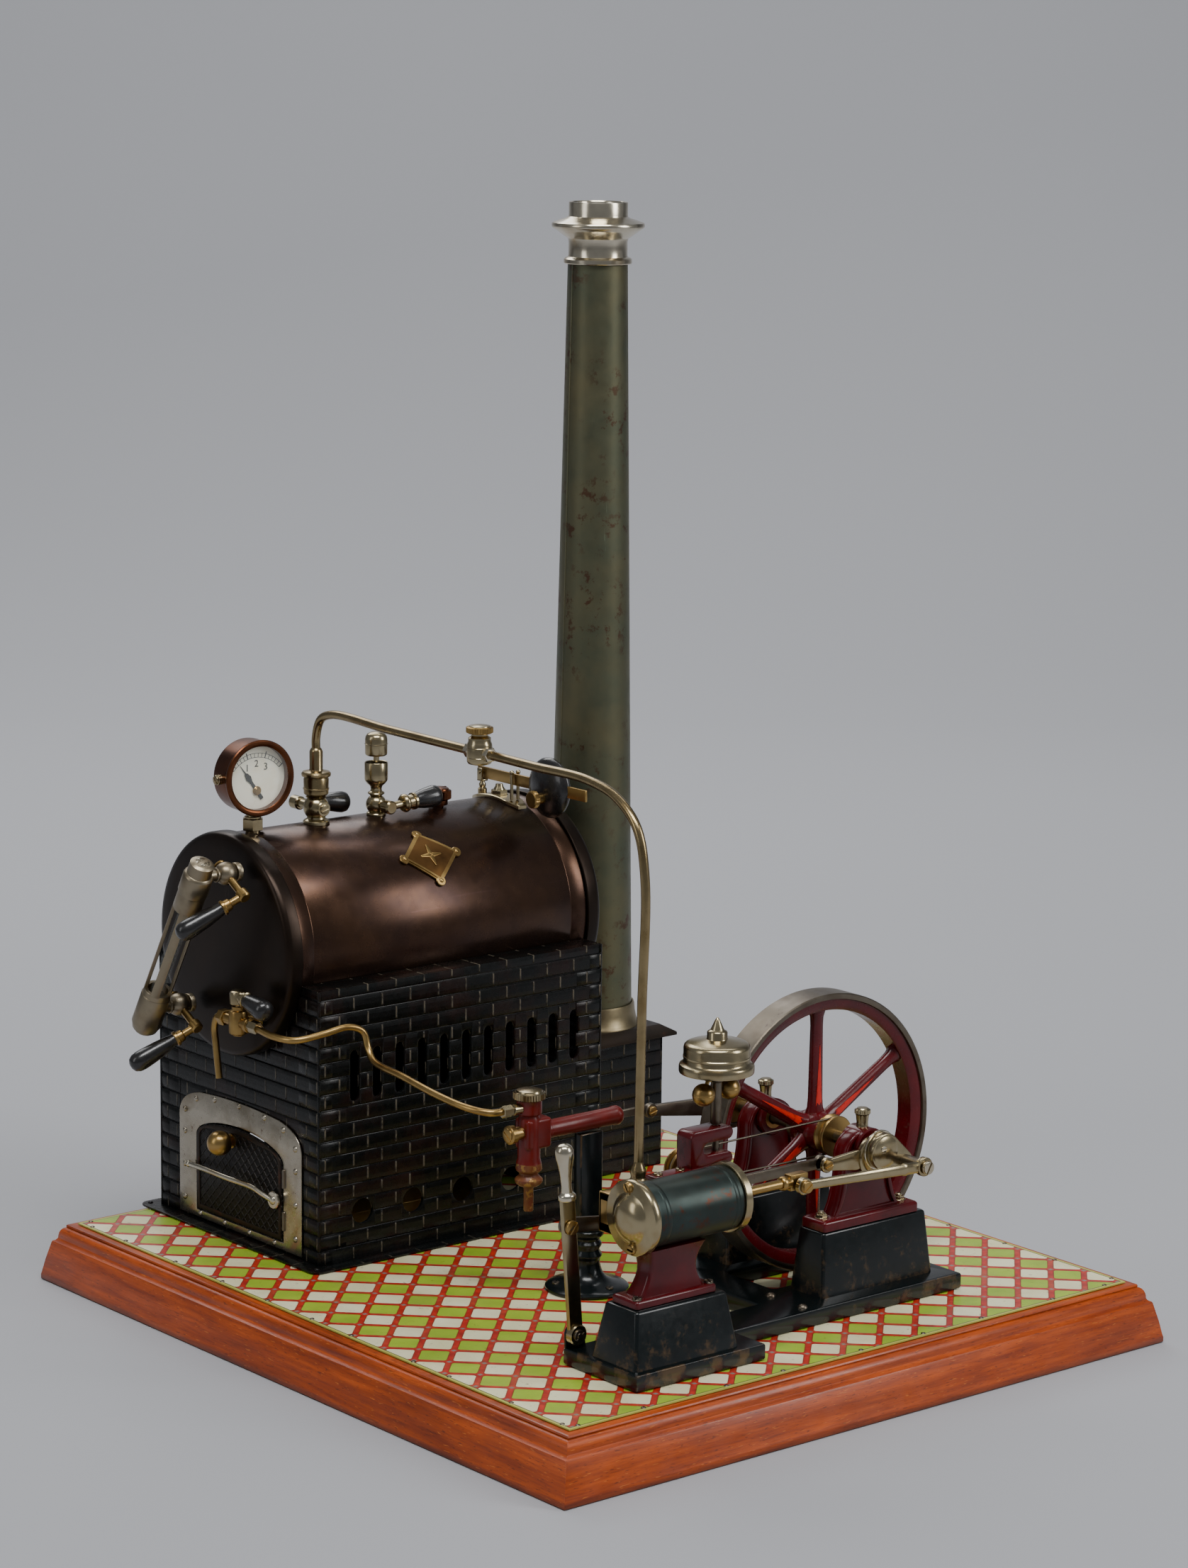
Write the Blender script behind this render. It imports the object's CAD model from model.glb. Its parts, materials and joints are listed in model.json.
"""Looks for the model steam engine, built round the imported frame.

Shapes are written in millimetres in the part's own frame: +X along the boiler away from the fire
door, +Y from the engine side to the boiler side, +Z up. They become metres as Blender meshes.
"""

import json
import math
import random

import bmesh
import bpy
from mathutils import Matrix, Vector


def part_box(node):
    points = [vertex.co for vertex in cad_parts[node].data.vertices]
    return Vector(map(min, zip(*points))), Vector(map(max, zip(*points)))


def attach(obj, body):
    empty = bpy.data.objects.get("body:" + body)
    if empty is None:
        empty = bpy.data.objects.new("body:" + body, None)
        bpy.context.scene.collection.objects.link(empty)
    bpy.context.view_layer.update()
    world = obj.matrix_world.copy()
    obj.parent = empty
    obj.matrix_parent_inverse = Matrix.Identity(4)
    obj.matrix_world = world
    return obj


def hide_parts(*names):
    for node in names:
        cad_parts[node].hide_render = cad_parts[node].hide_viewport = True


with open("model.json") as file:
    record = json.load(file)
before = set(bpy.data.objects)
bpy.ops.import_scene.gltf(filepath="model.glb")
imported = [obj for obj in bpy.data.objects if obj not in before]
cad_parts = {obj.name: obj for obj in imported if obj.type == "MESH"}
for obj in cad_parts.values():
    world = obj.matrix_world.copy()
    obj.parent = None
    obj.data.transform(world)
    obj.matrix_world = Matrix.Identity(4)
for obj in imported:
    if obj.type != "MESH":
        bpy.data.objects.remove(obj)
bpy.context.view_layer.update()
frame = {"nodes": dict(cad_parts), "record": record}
scene = bpy.context.scene
MM = 0.001
random.seed(7)

# ================================================================ shapes


class Solid:
    """Vertices in millimetres, and faces."""

    def __init__(self, verts, faces):
        self.verts = [Vector(v) for v in verts]
        self.faces = faces

    def mapped(self, matrix):
        return Solid([matrix @ v for v in self.verts], self.faces)

    def at(self, x=0.0, y=0.0, z=0.0):
        return self.mapped(Matrix.Translation((x, y, z)))

    def turned(self, axis, degrees):
        return self.mapped(Matrix.Rotation(math.radians(degrees), 4, axis))

    def along_x(self):
        return self.turned("Y", 90)

    def along_y(self):
        return self.turned("X", -90)

    def scaled(self, x, y, z):
        return self.mapped(Matrix.Diagonal((x, y, z, 1)))


def from_bmesh(bm):
    bm.verts.index_update()
    solid = Solid([v.co.copy() for v in bm.verts], [[v.index for v in f.verts] for f in bm.faces])
    bm.free()
    return solid


def skin(rings):
    """A closed body through rings of points, all of the same length, with two flat ends."""
    n, last = len(rings[0]), (len(rings) - 1) * len(rings[0])
    faces = [[a + j, a + (j + 1) % n, a + n + (j + 1) % n, a + n + j]
             for a in range(0, last, n) for j in range(n)]
    faces += [list(range(n))[::-1], list(range(last, last + n))]
    return Solid([point for ring in rings for point in ring], faces)


def lathe(outline, sides=48):
    """A body turned about Z. Its (radius, height) outline ends on the axis or closes on itself."""
    verts, faces, rings = [], [], []
    for r, z in outline:
        if r < 1e-6:
            rings.append([len(verts)] * sides)
            verts.append((0, 0, z))
        else:
            rings.append(range(len(verts), len(verts) + sides))
            angles = (2 * math.pi * i / sides for i in range(sides))
            verts += [(r * math.cos(a), r * math.sin(a), z) for a in angles]
    pairs = list(zip(rings, rings[1:]))
    if outline[0][0] > 1e-6 or outline[-1][0] > 1e-6:
        pairs.append((rings[-1], rings[0]))
    for low, high in pairs:
        for i in range(sides):
            j = (i + 1) % sides
            face = list(dict.fromkeys((low[i], low[j], high[j], high[i])))
            if len(face) > 2:
                faces.append(face)
    return Solid(verts, faces)


def cylinder(r, z0, z1, edge=0.25, sides=40):
    e = min(edge, r * 0.4, (z1 - z0) * 0.4)
    return lathe([(0, z0), (r - e, z0), (r, z0 + e), (r, z1 - e), (r - e, z1), (0, z1)], sides)


def rod(start, end, r):
    a, b = Vector(start), Vector(end)
    turn = Vector((0, 0, 1)).rotation_difference(b - a).to_matrix().to_4x4()
    return cylinder(r, 0, (b - a).length, 0.2, 20).mapped(Matrix.Translation(a) @ turn)


def ball(r, sides=32):
    steps = sides // 2
    angles = [math.pi * i / steps - math.pi / 2 for i in range(1, steps)]
    points = [(r * math.cos(a), r * math.sin(a)) for a in angles]
    return lathe([(0, -r), *points, (0, r)], sides)


def hexagon(r, z0, z1):
    c = 0.35
    return lathe([(0, z0), (r * 0.88, z0), (r, z0 + c), (r, z1 - c), (r * 0.88, z1), (0, z1)], 6)


def knurled(r, z0, z1, teeth=36, depth=0.35):
    """A milled drum: a row of teeth between two smooth chamfers."""
    sides, inset, chamfer = teeth * 2, 0.8, 0.45
    rings = []
    for radius, z, milled in ((r - inset, z0, 0), (r, z0 + chamfer, 1), (r, z1 - chamfer, 1),
                              (r - inset, z1, 0)):
        rings.append([])
        for i in range(sides):
            reach = radius - depth * milled * (i % 2)
            angle = 2 * math.pi * i / sides
            rings[-1].append((reach * math.cos(angle), reach * math.sin(angle), z))
    return skin(rings)


def block(x0, x1, y0, y1, z0, z1, edge=0.35, segments=2):
    bm = bmesh.new()
    bmesh.ops.create_cube(bm, size=1)
    size = Vector((x1 - x0, y1 - y0, z1 - z0))
    centre = Vector((x0 + x1, y0 + y1, z0 + z1)) / 2
    for v in bm.verts:
        v.co = Vector(a * b for a, b in zip(v.co, size)) + centre
    edge = min(edge, min(size) * 0.4)
    bmesh.ops.bevel(bm, geom=bm.edges[:], offset=edge, segments=segments, affect="EDGES",
                    profile=0.5)
    return from_bmesh(bm)


def plate(outline, z0, z1, holes=(), edge=0.25):
    """A flat piece of any outline with holes, its rims rounded by `edge`."""
    curve = bpy.data.curves.new("outline", "CURVE")
    curve.dimensions = "2D"
    curve.fill_mode = "BOTH"
    half = (z1 - z0) / 2
    edge = min(edge, half * 0.8)
    curve.extrude = half - edge
    curve.bevel_depth = edge
    curve.bevel_resolution = 1
    curve.offset = -edge
    for points in (outline, *holes):
        spline = curve.splines.new("POLY")
        spline.points.add(len(points) - 1)
        for target, (x, y) in zip(spline.points, points):
            target.co = (x, y, 0, 1)
        spline.use_cyclic_u = True
    thing = bpy.data.objects.new("outline", curve)
    bm = bmesh.new()
    bm.from_mesh(thing.to_mesh())
    thing.to_mesh_clear()
    bpy.data.objects.remove(thing)
    bpy.data.curves.remove(curve)
    bmesh.ops.remove_doubles(bm, verts=bm.verts[:], dist=1e-4)
    return from_bmesh(bm).at(z=(z0 + z1) / 2)


def plate_y(outline, y0, y1, holes=(), edge=0.25):
    """A plate standing in the XZ plane: its outline is read as (x, z)."""
    return plate(outline, -y1, -y0, holes, edge).turned("X", 90)


CYCLE_AXES = Matrix(((0, 0, 1, 0), (1, 0, 0, 0), (0, 1, 0, 0), (0, 0, 0, 1)))


def plate_x(outline, x0, x1, holes=(), edge=0.25):
    """A plate standing in the YZ plane: its outline is read as (y, z)."""
    return plate(outline, x0, x1, holes, edge).mapped(CYCLE_AXES)


def arc(cx, cy, r, start, end, steps=16, ry=None):
    """Points on an arc, its angles in degrees."""
    angles = [math.radians(start + (end - start) * i / steps) for i in range(steps + 1)]
    return [(cx + r * math.cos(a), cy + (ry or r) * math.sin(a)) for a in angles]


def circle(cx, cy, r, steps=32):
    return arc(cx, cy, r, 0, 360, steps)[:-1]


def rectangle(x0, x1, y0, y1, corner=0.0, steps=6):
    if not corner:
        return [(x0, y0), (x1, y0), (x1, y1), (x0, y1)]
    c = corner
    centres = ((x1 - c, y0 + c), (x1 - c, y1 - c), (x0 + c, y1 - c), (x0 + c, y0 + c))
    return [point for k, (x, y) in enumerate(centres)
            for point in arc(x, y, c, 90 * k - 90, 90 * k, steps)]


def mirrored(outline):
    """A closed (radius, height) outline from its lower half."""
    return outline + [(r, -z) for r, z in reversed(outline)]


def teardrop(a, ra, b, rb):
    """Two round ends joined by their common tangents."""
    length = math.dist(a, b)
    heading = math.degrees(math.atan2(b[1] - a[1], b[0] - a[0]))
    spread = math.degrees(math.acos((ra - rb) / length))
    first = arc(*a, ra, heading + spread, heading - spread + 360, 18)
    return first + arc(*b, rb, heading - spread, heading + spread, 18)


def loft(levels, corner=1.2, steps=4):
    """A stack of rectangles (x0, x1, y0, y1, z) with rounded upright corners."""
    rings = []
    for x0, x1, y0, y1, z in levels:
        c = min(corner, (x1 - x0) * 0.45, (y1 - y0) * 0.45)
        rings.append([(x, y, z) for x, y in rectangle(x0, x1, y0, y1, c, steps)])
    return skin(rings)


def casting(x0, x1, y0, y1, z0, z1, inset=(0, 0), round_edge=1.0, corner=1.4):
    """A tapering block with rounded edges: `inset` is how much the top draws in along X and Y."""
    def level(t, shrink):
        dx, dy = inset[0] * t + shrink, inset[1] * t + shrink
        return (x0 + dx, x1 - dx, y0 + dy, y1 - dy, z0 + (z1 - z0) * t)
    r = round_edge / (z1 - z0)
    steps = [(0, 0)]
    for k in range(1, 5):
        a = math.pi / 2 * k / 4
        steps.append((1 - r + r * math.sin(a), round_edge * (1 - math.cos(a))))
    steps.insert(1, (1 - r, 0))
    return loft([level(t, s) for t, s in steps], corner)


def smooth_path(points, fine=8):
    """A centripetal Catmull-Rom curve through the points."""
    pts = [Vector(p) for p in points]
    pts = [pts[0] * 2 - pts[1], *pts, pts[-1] * 2 - pts[-2]]
    path = []
    for p0, p1, p2, p3 in zip(pts, pts[1:], pts[2:], pts[3:]):
        t1 = (p1 - p0).length ** 0.5
        t2 = t1 + (p2 - p1).length ** 0.5
        t3 = t2 + (p3 - p2).length ** 0.5
        for i in range(fine):
            t = t1 + (t2 - t1) * i / fine
            a = p0.lerp(p1, t / t1)
            b = p1.lerp(p2, (t - t1) / (t2 - t1))
            c = p2.lerp(p3, (t - t2) / (t3 - t2))
            path.append(a.lerp(b, t / t2).lerp(b.lerp(c, (t - t1) / (t3 - t1)),
                                               (t - t1) / (t2 - t1)))
    return path + [pts[-2]]


def sweep(points, r, sides=16, fine=8, flat=1.0):
    """A round or flattened bar along a smooth path, with closed ends."""
    path = smooth_path(points, fine)
    rings = []
    tangent = (path[1] - path[0]).normalized()
    across = Vector((0, 0, 1)) if abs(tangent.z) < 0.9 else Vector((1, 0, 0))
    side = tangent.cross(across).normalized()
    for i, point in enumerate(path):
        ahead = path[min(i + 1, len(path) - 1)] - path[max(i - 1, 0)]
        ahead.normalize()
        side = (side - ahead * side.dot(ahead)).normalized()
        up = ahead.cross(side)
        angles = (2 * math.pi * k / sides for k in range(sides))
        rings.append([point + (side * math.cos(a) * flat + up * math.sin(a)) * r for a in angles])
    return skin(rings)


def screw(r, height, slot_angle):
    """A slotted screw head standing on z = 0: a disc with two half-moons on it."""
    half_slot = r * 0.16
    a = math.degrees(math.asin(half_slot / r))
    moon = plate(arc(0, 0, r, a, 180 - a, 14), height * 0.4, height, edge=half_slot)
    halves = [moon.turned("Z", slot_angle + k) for k in (0, 180)]
    return [cylinder(r, 0, height * 0.5, 0.1, 28), *halves]


def rivet(r, height=None):
    h = height or r * 0.6
    dome = [(r * math.cos(a), h * math.sin(a)) for a in (0.4, 0.8, 1.2)]
    return lathe([(0, 0), (r, 0), *dome, (0, h)], 16)


def facing(solids, way, x=0.0, y=0.0, z=0.0):
    """Turns solids that stand on z = 0 to face +X, -X, +Y or -Y, and moves them."""
    axis, angle = {"+X": ("Y", 90), "-X": ("Y", -90), "+Y": ("X", -90), "-Y": ("X", 90)}[way]
    return [s.turned(axis, angle).at(x, y, z) for s in solids]


def moved(solids, x=0.0, y=0.0, z=0.0):
    return [s.at(x, y, z) for s in solids]


class Box:
    """A CAD node's box at rest, in millimetres."""

    def __init__(self, node):
        low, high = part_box(node)
        self.x0, self.y0, self.z0 = (v / MM for v in low)
        self.x1, self.y1, self.z1 = (v / MM for v in high)
        self.x, self.y, self.z = ((a + b) / 2 / MM for a, b in zip(low, high))


NODE_BODY = {n: body for body, nodes in frame["record"]["behaviour"]["bodies"].items()
             for n in nodes}


def piece(name, nodes, *layers, body=None, sharp=35):
    """One mesh object from layers of (material, solid, ...), standing for the named CAD nodes."""
    nodes = [nodes] if isinstance(nodes, str) else list(nodes)
    mesh = bpy.data.meshes.new(name)
    verts, faces, which = [], [], []
    for index, (finish, *solids) in enumerate(layers):
        mesh.materials.append(finish)
        for solid in solids:
            start = len(verts)
            verts += [v * MM for v in solid.verts]
            faces += [[i + start for i in face] for face in solid.faces]
            which += [index] * len(solid.faces)
    mesh.from_pydata(verts, [], faces)
    mesh.polygons.foreach_set("material_index", which)
    bm = bmesh.new()
    bm.from_mesh(mesh)
    bmesh.ops.recalc_face_normals(bm, faces=bm.faces[:])
    bm.to_mesh(mesh)
    bm.free()
    mesh.polygons.foreach_set("use_smooth", [True] * len(mesh.polygons))
    mesh.set_sharp_from_angle(angle=math.radians(sharp))
    thing = bpy.data.objects.new(name, mesh)
    scene.collection.objects.link(thing)
    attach(thing, body or NODE_BODY[nodes[0]])
    if nodes:
        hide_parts(*nodes)
    return thing


# ================================================================ finishes


def srgb(r, g, b):
    """A colour given as 0 to 255, in linear light."""
    def linear(c):
        c /= 255
        return c / 12.92 if c <= 0.04045 else ((c + 0.055) / 1.055) ** 2.4
    return (linear(r), linear(g), linear(b), 1)


class Finish:
    """A Principled material and the nodes that drive it."""

    def __init__(self, name, roughness=0.4, metallic=0.0, coat=0.0):
        self.material = bpy.data.materials.new(name)
        self.material.use_nodes = True
        self.tree = self.material.node_tree
        self.shader = self.tree.nodes["Principled BSDF"]
        self.shader.inputs["Roughness"].default_value = roughness
        self.shader.inputs["Metallic"].default_value = metallic
        self.shader.inputs["Coat Weight"].default_value = coat
        self.shader.inputs["Coat Roughness"].default_value = 0.12
        self.place = self.node("ShaderNodeTexCoord").outputs["Object"]
        self.height = None

    def node(self, kind, inputs=None, **settings):
        made = self.tree.nodes.new(kind)
        for key, value in settings.items():
            setattr(made, key, value)
        for key, value in (inputs or {}).items():
            self.feed(made.inputs[key], value)
        return made

    def feed(self, socket, value):
        if isinstance(value, bpy.types.NodeSocket):
            self.tree.links.new(value, socket)
        else:
            socket.default_value = value

    def sum(self, operation, a, b=0.0, c=0.0, clamp=False):
        made = self.node("ShaderNodeMath", {0: a, 1: b, 2: c}, operation=operation, use_clamp=clamp)
        return made.outputs[0]

    def scaled(self, x, y, z, place=None):
        """The place in millimetres, divided by the given lengths."""
        scale = (1 / (x * MM), 1 / (y * MM), 1 / (z * MM))
        return self.node("ShaderNodeMapping", {"Vector": place or self.place,
                                               "Scale": scale}).outputs[0]

    def noise(self, x, y=None, z=None, detail=3.0, place=None, rough=0.55, seed=0.0):
        where = self.scaled(x, y or x, z or x, place)
        made = self.node(
            "ShaderNodeTexNoise",
            {"Vector": where, "W": seed, "Scale": 1.0, "Detail": detail, "Roughness": rough},
            noise_dimensions="4D",
        )
        return made.outputs[0]

    def band(self, value, low, high):
        """0 below low, 1 above high."""
        made = self.node("ShaderNodeMapRange", {"Value": value, "From Min": low, "From Max": high})
        return made.outputs[0]

    def mix(self, factor, a, b):
        made = self.node("ShaderNodeMix", data_type="RGBA")
        for socket, value in ((0, factor), (6, a), (7, b)):
            self.feed(made.inputs[socket], value)
        return made.outputs[2]

    def colour(self, value):
        self.feed(self.shader.inputs["Base Color"], value)

    def rough(self, value, low, high):
        made = self.node("ShaderNodeMapRange", {"Value": value, "To Min": low, "To Max": high})
        self.feed(self.shader.inputs["Roughness"], made.outputs[0])

    def bump(self, value, depth, strength=0.6):
        """Adds relief of `depth` millimetres."""
        inputs = {"Height": value, "Distance": depth * MM, "Strength": strength}
        if self.height is not None:
            inputs["Normal"] = self.height
        self.height = self.node("ShaderNodeBump", inputs).outputs[0]
        self.feed(self.shader.inputs["Normal"], self.height)

    def side_place(self):
        """The place with its first coordinate along the wall, whichever way the wall faces."""
        normal = self.node("ShaderNodeNewGeometry").outputs["Normal"]
        across = self.node("ShaderNodeSeparateXYZ", {0: normal})
        x = self.sum("ABSOLUTE", across.outputs[0])
        faces_x = self.sum("GREATER_THAN", x, self.sum("ABSOLUTE", across.outputs[1]))
        own = self.node("ShaderNodeSeparateXYZ", {0: self.place})
        swapped = self.node("ShaderNodeCombineXYZ", {0: own.outputs[1], 1: own.outputs[0],
                                                     2: own.outputs[2]})
        picked = self.node("ShaderNodeMix", data_type="VECTOR")
        self.feed(picked.inputs[0], faces_x)
        self.feed(picked.inputs[4], self.place)
        self.feed(picked.inputs[5], swapped.outputs[0])
        return picked.outputs[1]


def metal(name, colour, worn, roughness, wear=0.5, rust=None):
    """Bare or plated metal: its colour, patches of what shows through, fine scratches and grime."""
    f = Finish(name, roughness, 1.0)
    patches = f.band(f.noise(16, detail=4, rough=0.55), 0.6 - 0.24 * wear, 0.8)
    tone = f.mix(patches, srgb(*colour), srgb(*worn))
    grime = f.band(f.noise(9, detail=5, rough=0.6, seed=3.0), 0.52, 0.76)
    tone = f.mix(f.sum("MULTIPLY", grime, 0.3), tone, srgb(*(c * 0.6 for c in worn)))
    if rust:
        spots = f.band(f.noise(5, detail=8, rough=0.72, seed=8.0), 0.6, 0.66)
        tone = f.mix(spots, tone, srgb(*rust))
        f.feed(f.shader.inputs["Metallic"], f.band(spots, 1.0, 0.0))
    f.colour(tone)
    f.rough(f.noise(4, detail=4, seed=5.0), roughness * 0.7, min(roughness * 1.4, 0.9))
    f.bump(f.noise(0.7, detail=2, seed=6.0), 0.0012)
    f.bump(f.noise(14, detail=2, seed=9.0), 0.03)
    return f.material


def enamel(name, colour, dull, chip, roughness=0.28, chips=0.5, relief=1.0):
    """Stoved paint: soft unevenness, faded patches, chips, and edges rubbed down to the metal."""
    f = Finish(name, roughness, 0.0, 0.1)
    f.shader.inputs["Specular IOR Level"].default_value = 0.38
    faded = f.band(f.noise(14, detail=5, rough=0.6), 0.35, 0.75)
    tone = f.mix(faded, srgb(*colour), srgb(*dull))
    chipping = f.noise(3.4, detail=9, rough=0.72, seed=2.0)
    spots = f.band(chipping, 0.735 - 0.09 * chips, 0.76 - 0.09 * chips)
    edge = f.node("ShaderNodeNewGeometry").outputs["Pointiness"]
    ragged = f.sum("MULTIPLY", f.noise(2.2, detail=6, seed=9.0), 0.12)
    rub = f.band(f.sum("ADD", edge, ragged), 0.625, 0.66)
    rub = f.sum("MULTIPLY", rub, f.band(f.noise(8, detail=5, seed=14.0), 0.48, 0.6))
    bare = f.sum("MAXIMUM", spots, f.sum("MULTIPLY", rub, 0.75))
    f.colour(f.mix(bare, tone, srgb(*chip)))
    f.feed(f.shader.inputs["Metallic"], f.sum("MULTIPLY", bare, 0.5))
    f.rough(f.noise(3, detail=5, seed=4.0), roughness * 0.6, roughness * 1.7)
    f.bump(f.noise(2.6, detail=3, seed=5.0), 0.06 * relief)
    f.bump(f.sum("SUBTRACT", 1.0, spots), 0.08)
    return f.material


def varnished_wood():
    f = Finish("varnished_beech", 0.32, 0.0, 0.08)
    place = f.side_place()
    grain = f.noise(48, 3.2, 3.2, 6, place, 0.6)
    fine = f.noise(14, 0.9, 0.9, 4, place, 0.6, 2.0)
    broad = f.noise(70, 40, 18, 3, place, 0.5, 4.0)
    tone = f.mix(f.band(grain, 0.3, 0.72), srgb(120, 40, 4), srgb(196, 84, 12))
    tone = f.mix(f.sum("MULTIPLY", f.band(fine, 0.5, 0.72), 0.5), tone, srgb(96, 34, 8))
    tone = f.mix(f.sum("MULTIPLY", f.band(broad, 0.48, 0.72), 0.5), tone, srgb(92, 32, 8))
    flecks = f.band(f.noise(3.4, 0.5, 0.5, 1, place, 0.4, 7.0), 0.64, 0.7)
    tone = f.mix(f.sum("MULTIPLY", flecks, 0.6), tone, srgb(70, 24, 8))
    light = f.band(f.noise(4.2, 0.6, 0.6, 1, place, 0.4, 17.0), 0.67, 0.73)
    tone = f.mix(f.sum("MULTIPLY", light, 0.45), tone, srgb(214, 124, 50))
    height = f.node("ShaderNodeSeparateXYZ", {0: f.place}).outputs[2]
    soiled = f.band(height, 3.5 * MM, 0.0)
    f.colour(f.mix(f.sum("MULTIPLY", soiled, 0.7), tone, srgb(52, 24, 12)))
    f.rough(f.noise(9, detail=4, seed=5.0), 0.22, 0.5)
    f.bump(fine, 0.05)
    f.bump(f.noise(9, detail=5, seed=8.0), 0.06)
    return f.material


def tiled_tin(high):
    """Printed and embossed tiles set cornerwise, with a plain strip along the sheet's edges.

    `high` is the sheet's far corner in metres; the sheet lies centred on the origin.
    """
    pitch, border, line_half = 15.0, 1.6, 2.75
    f = Finish("tiled_tin", 0.34, 0.0, 0.15)
    own = f.node("ShaderNodeSeparateXYZ", {0: f.place})
    x, y = own.outputs[0], own.outputs[1]
    cell = 1 / (pitch * MM * math.sqrt(2))
    u = f.sum("MULTIPLY", f.sum("ADD", x, y), cell)
    v = f.sum("MULTIPLY", f.sum("SUBTRACT", x, y), cell)

    def to_line(w):
        """Distance in millimetres to the nearest line of the lattice."""
        return f.sum("MULTIPLY", f.sum("PINGPONG", w, 0.5), pitch)

    du, dv = to_line(u), to_line(v)
    parity = f.sum("ADD", f.sum("FLOOR", u), f.sum("FLOOR", v))
    odd = f.sum("GREATER_THAN", f.sum("PINGPONG", parity, 1.0), 0.5)
    shade = f.noise(30, detail=4, seed=1.0)
    cream = f.mix(f.band(shade, 0.4, 0.7), srgb(232, 227, 190), srgb(212, 206, 158))
    green = f.mix(f.band(shade, 0.4, 0.7), srgb(158, 186, 44), srgb(128, 158, 38))
    tone = f.mix(odd, cream, green)
    # A tile's own outline: its corners are rounded where both distances are small.
    inset_u = f.sum("MAXIMUM", f.sum("SUBTRACT", line_half, du), 0.0)
    inset_v = f.sum("MAXIMUM", f.sum("SUBTRACT", line_half, dv), 0.0)
    reach = f.sum("SQRT", f.sum("ADD", f.sum("POWER", inset_u, 2.0), f.sum("POWER", inset_v, 2.0)))
    tile = f.band(reach, 1.45, 1.2)
    red = f.mix(f.band(f.noise(4, detail=4), 0.35, 0.65), srgb(196, 44, 22), srgb(146, 30, 20))
    tone = f.mix(tile, red, tone)
    seam = f.sum("MULTIPLY", f.band(reach, 1.35, 1.5), f.band(reach, 1.9, 1.6))
    tone = f.mix(f.sum("MULTIPLY", seam, 0.5), tone, srgb(92, 34, 22))
    knot = f.band(f.sum("ADD", du, dv), 1.6, 1.1)
    tone = f.mix(knot, tone, srgb(128, 118, 110))
    edge_x = f.sum("SUBTRACT", high.x - border * MM, f.sum("ABSOLUTE", x))
    edge_y = f.sum("SUBTRACT", high.y - border * MM, f.sum("ABSOLUTE", y))
    inside = f.sum("MINIMUM", edge_x, edge_y)
    strip = f.sum("LESS_THAN", inside, 0.0)
    tone = f.mix(strip, tone, srgb(176, 178, 84))
    line = f.band(f.sum("ABSOLUTE", inside), 0.35 * MM, 0.15 * MM)
    tone = f.mix(line, tone, srgb(70, 66, 40))
    dirt = f.band(f.noise(2.4, detail=9, rough=0.7, seed=6.0), 0.6, 0.68)
    tone = f.mix(f.sum("MULTIPLY", dirt, 0.75), tone, srgb(96, 74, 46))
    stain = f.band(f.noise(26, detail=6, seed=11.0), 0.5, 0.8)
    tone = f.mix(f.sum("MULTIPLY", stain, 0.35), tone, srgb(150, 128, 84))
    f.colour(tone)
    f.rough(f.noise(5, detail=5, seed=3.0), 0.25, 0.6)
    f.bump(f.sum("MULTIPLY", tile, f.sum("SUBTRACT", 1.0, strip)), 0.45, 0.8)
    f.bump(f.noise(12, detail=3, seed=9.0), 0.35)
    return f.material


def brickwork(base_z):
    """Dark enamel over bricks pressed in tin: bulging courses, each half a brick off the next."""
    f = Finish("pressed_brickwork", 0.34, 0.1)
    f.shader.inputs["Specular IOR Level"].default_value = 0.3
    place = f.side_place()
    own = f.node("ShaderNodeSeparateXYZ", {0: place})
    along = f.sum("DIVIDE", own.outputs[0], BRICK * MM)
    up = f.sum("DIVIDE", f.sum("SUBTRACT", own.outputs[2], base_z * MM), COURSE * MM)
    row = f.sum("FLOOR", up)
    shifted = f.sum("ADD", along, f.sum("MULTIPLY", row, 0.5))
    number = f.sum("FLOOR", shifted)
    du = f.sum("MULTIPLY", f.sum("PINGPONG", shifted, 0.5), BRICK)
    dv = f.sum("MULTIPLY", f.sum("PINGPONG", up, 0.5), COURSE)
    # Each course bulges; a raised weld stands between one brick and the next.
    course_bulge = f.sum("SQRT", f.band(dv, 0.0, 2.4))
    weld = f.sum("MULTIPLY", f.band(du, 0.6, 0.25), f.band(dv, 0.7, 1.4))
    seed = f.node("ShaderNodeCombineXYZ", {0: number, 1: row}).outputs[0]
    own_tone = f.node("ShaderNodeTexWhiteNoise", {"Vector": seed}, noise_dimensions="3D").outputs[0]
    tone = f.mix(own_tone, srgb(5, 7, 7), srgb(12, 15, 14))
    brown = f.band(f.noise(24, detail=6, rough=0.62, seed=2.0), 0.48, 0.7)
    tone = f.mix(f.sum("MULTIPLY", brown, 0.85), tone, srgb(36, 18, 13))
    tone = f.mix(f.band(dv, 0.7, 0.2), tone, srgb(2, 2, 3))
    rub = f.sum("MULTIPLY", f.band(f.noise(3.6, detail=6, rough=0.6, seed=4.0), 0.34, 0.54), weld)
    tone = f.mix(f.sum("MULTIPLY", rub, 0.9), tone, srgb(104, 96, 82))
    f.colour(tone)
    f.rough(f.noise(4, detail=5, seed=7.0), 0.14, 0.4)
    f.bump(f.sum("ADD", f.sum("MULTIPLY", course_bulge, 0.6), f.sum("MULTIPLY", weld, 0.5)), 0.8,
           1.0)
    f.bump(f.noise(3.4, detail=4, seed=5.0), 0.12)
    return f.material


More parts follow.
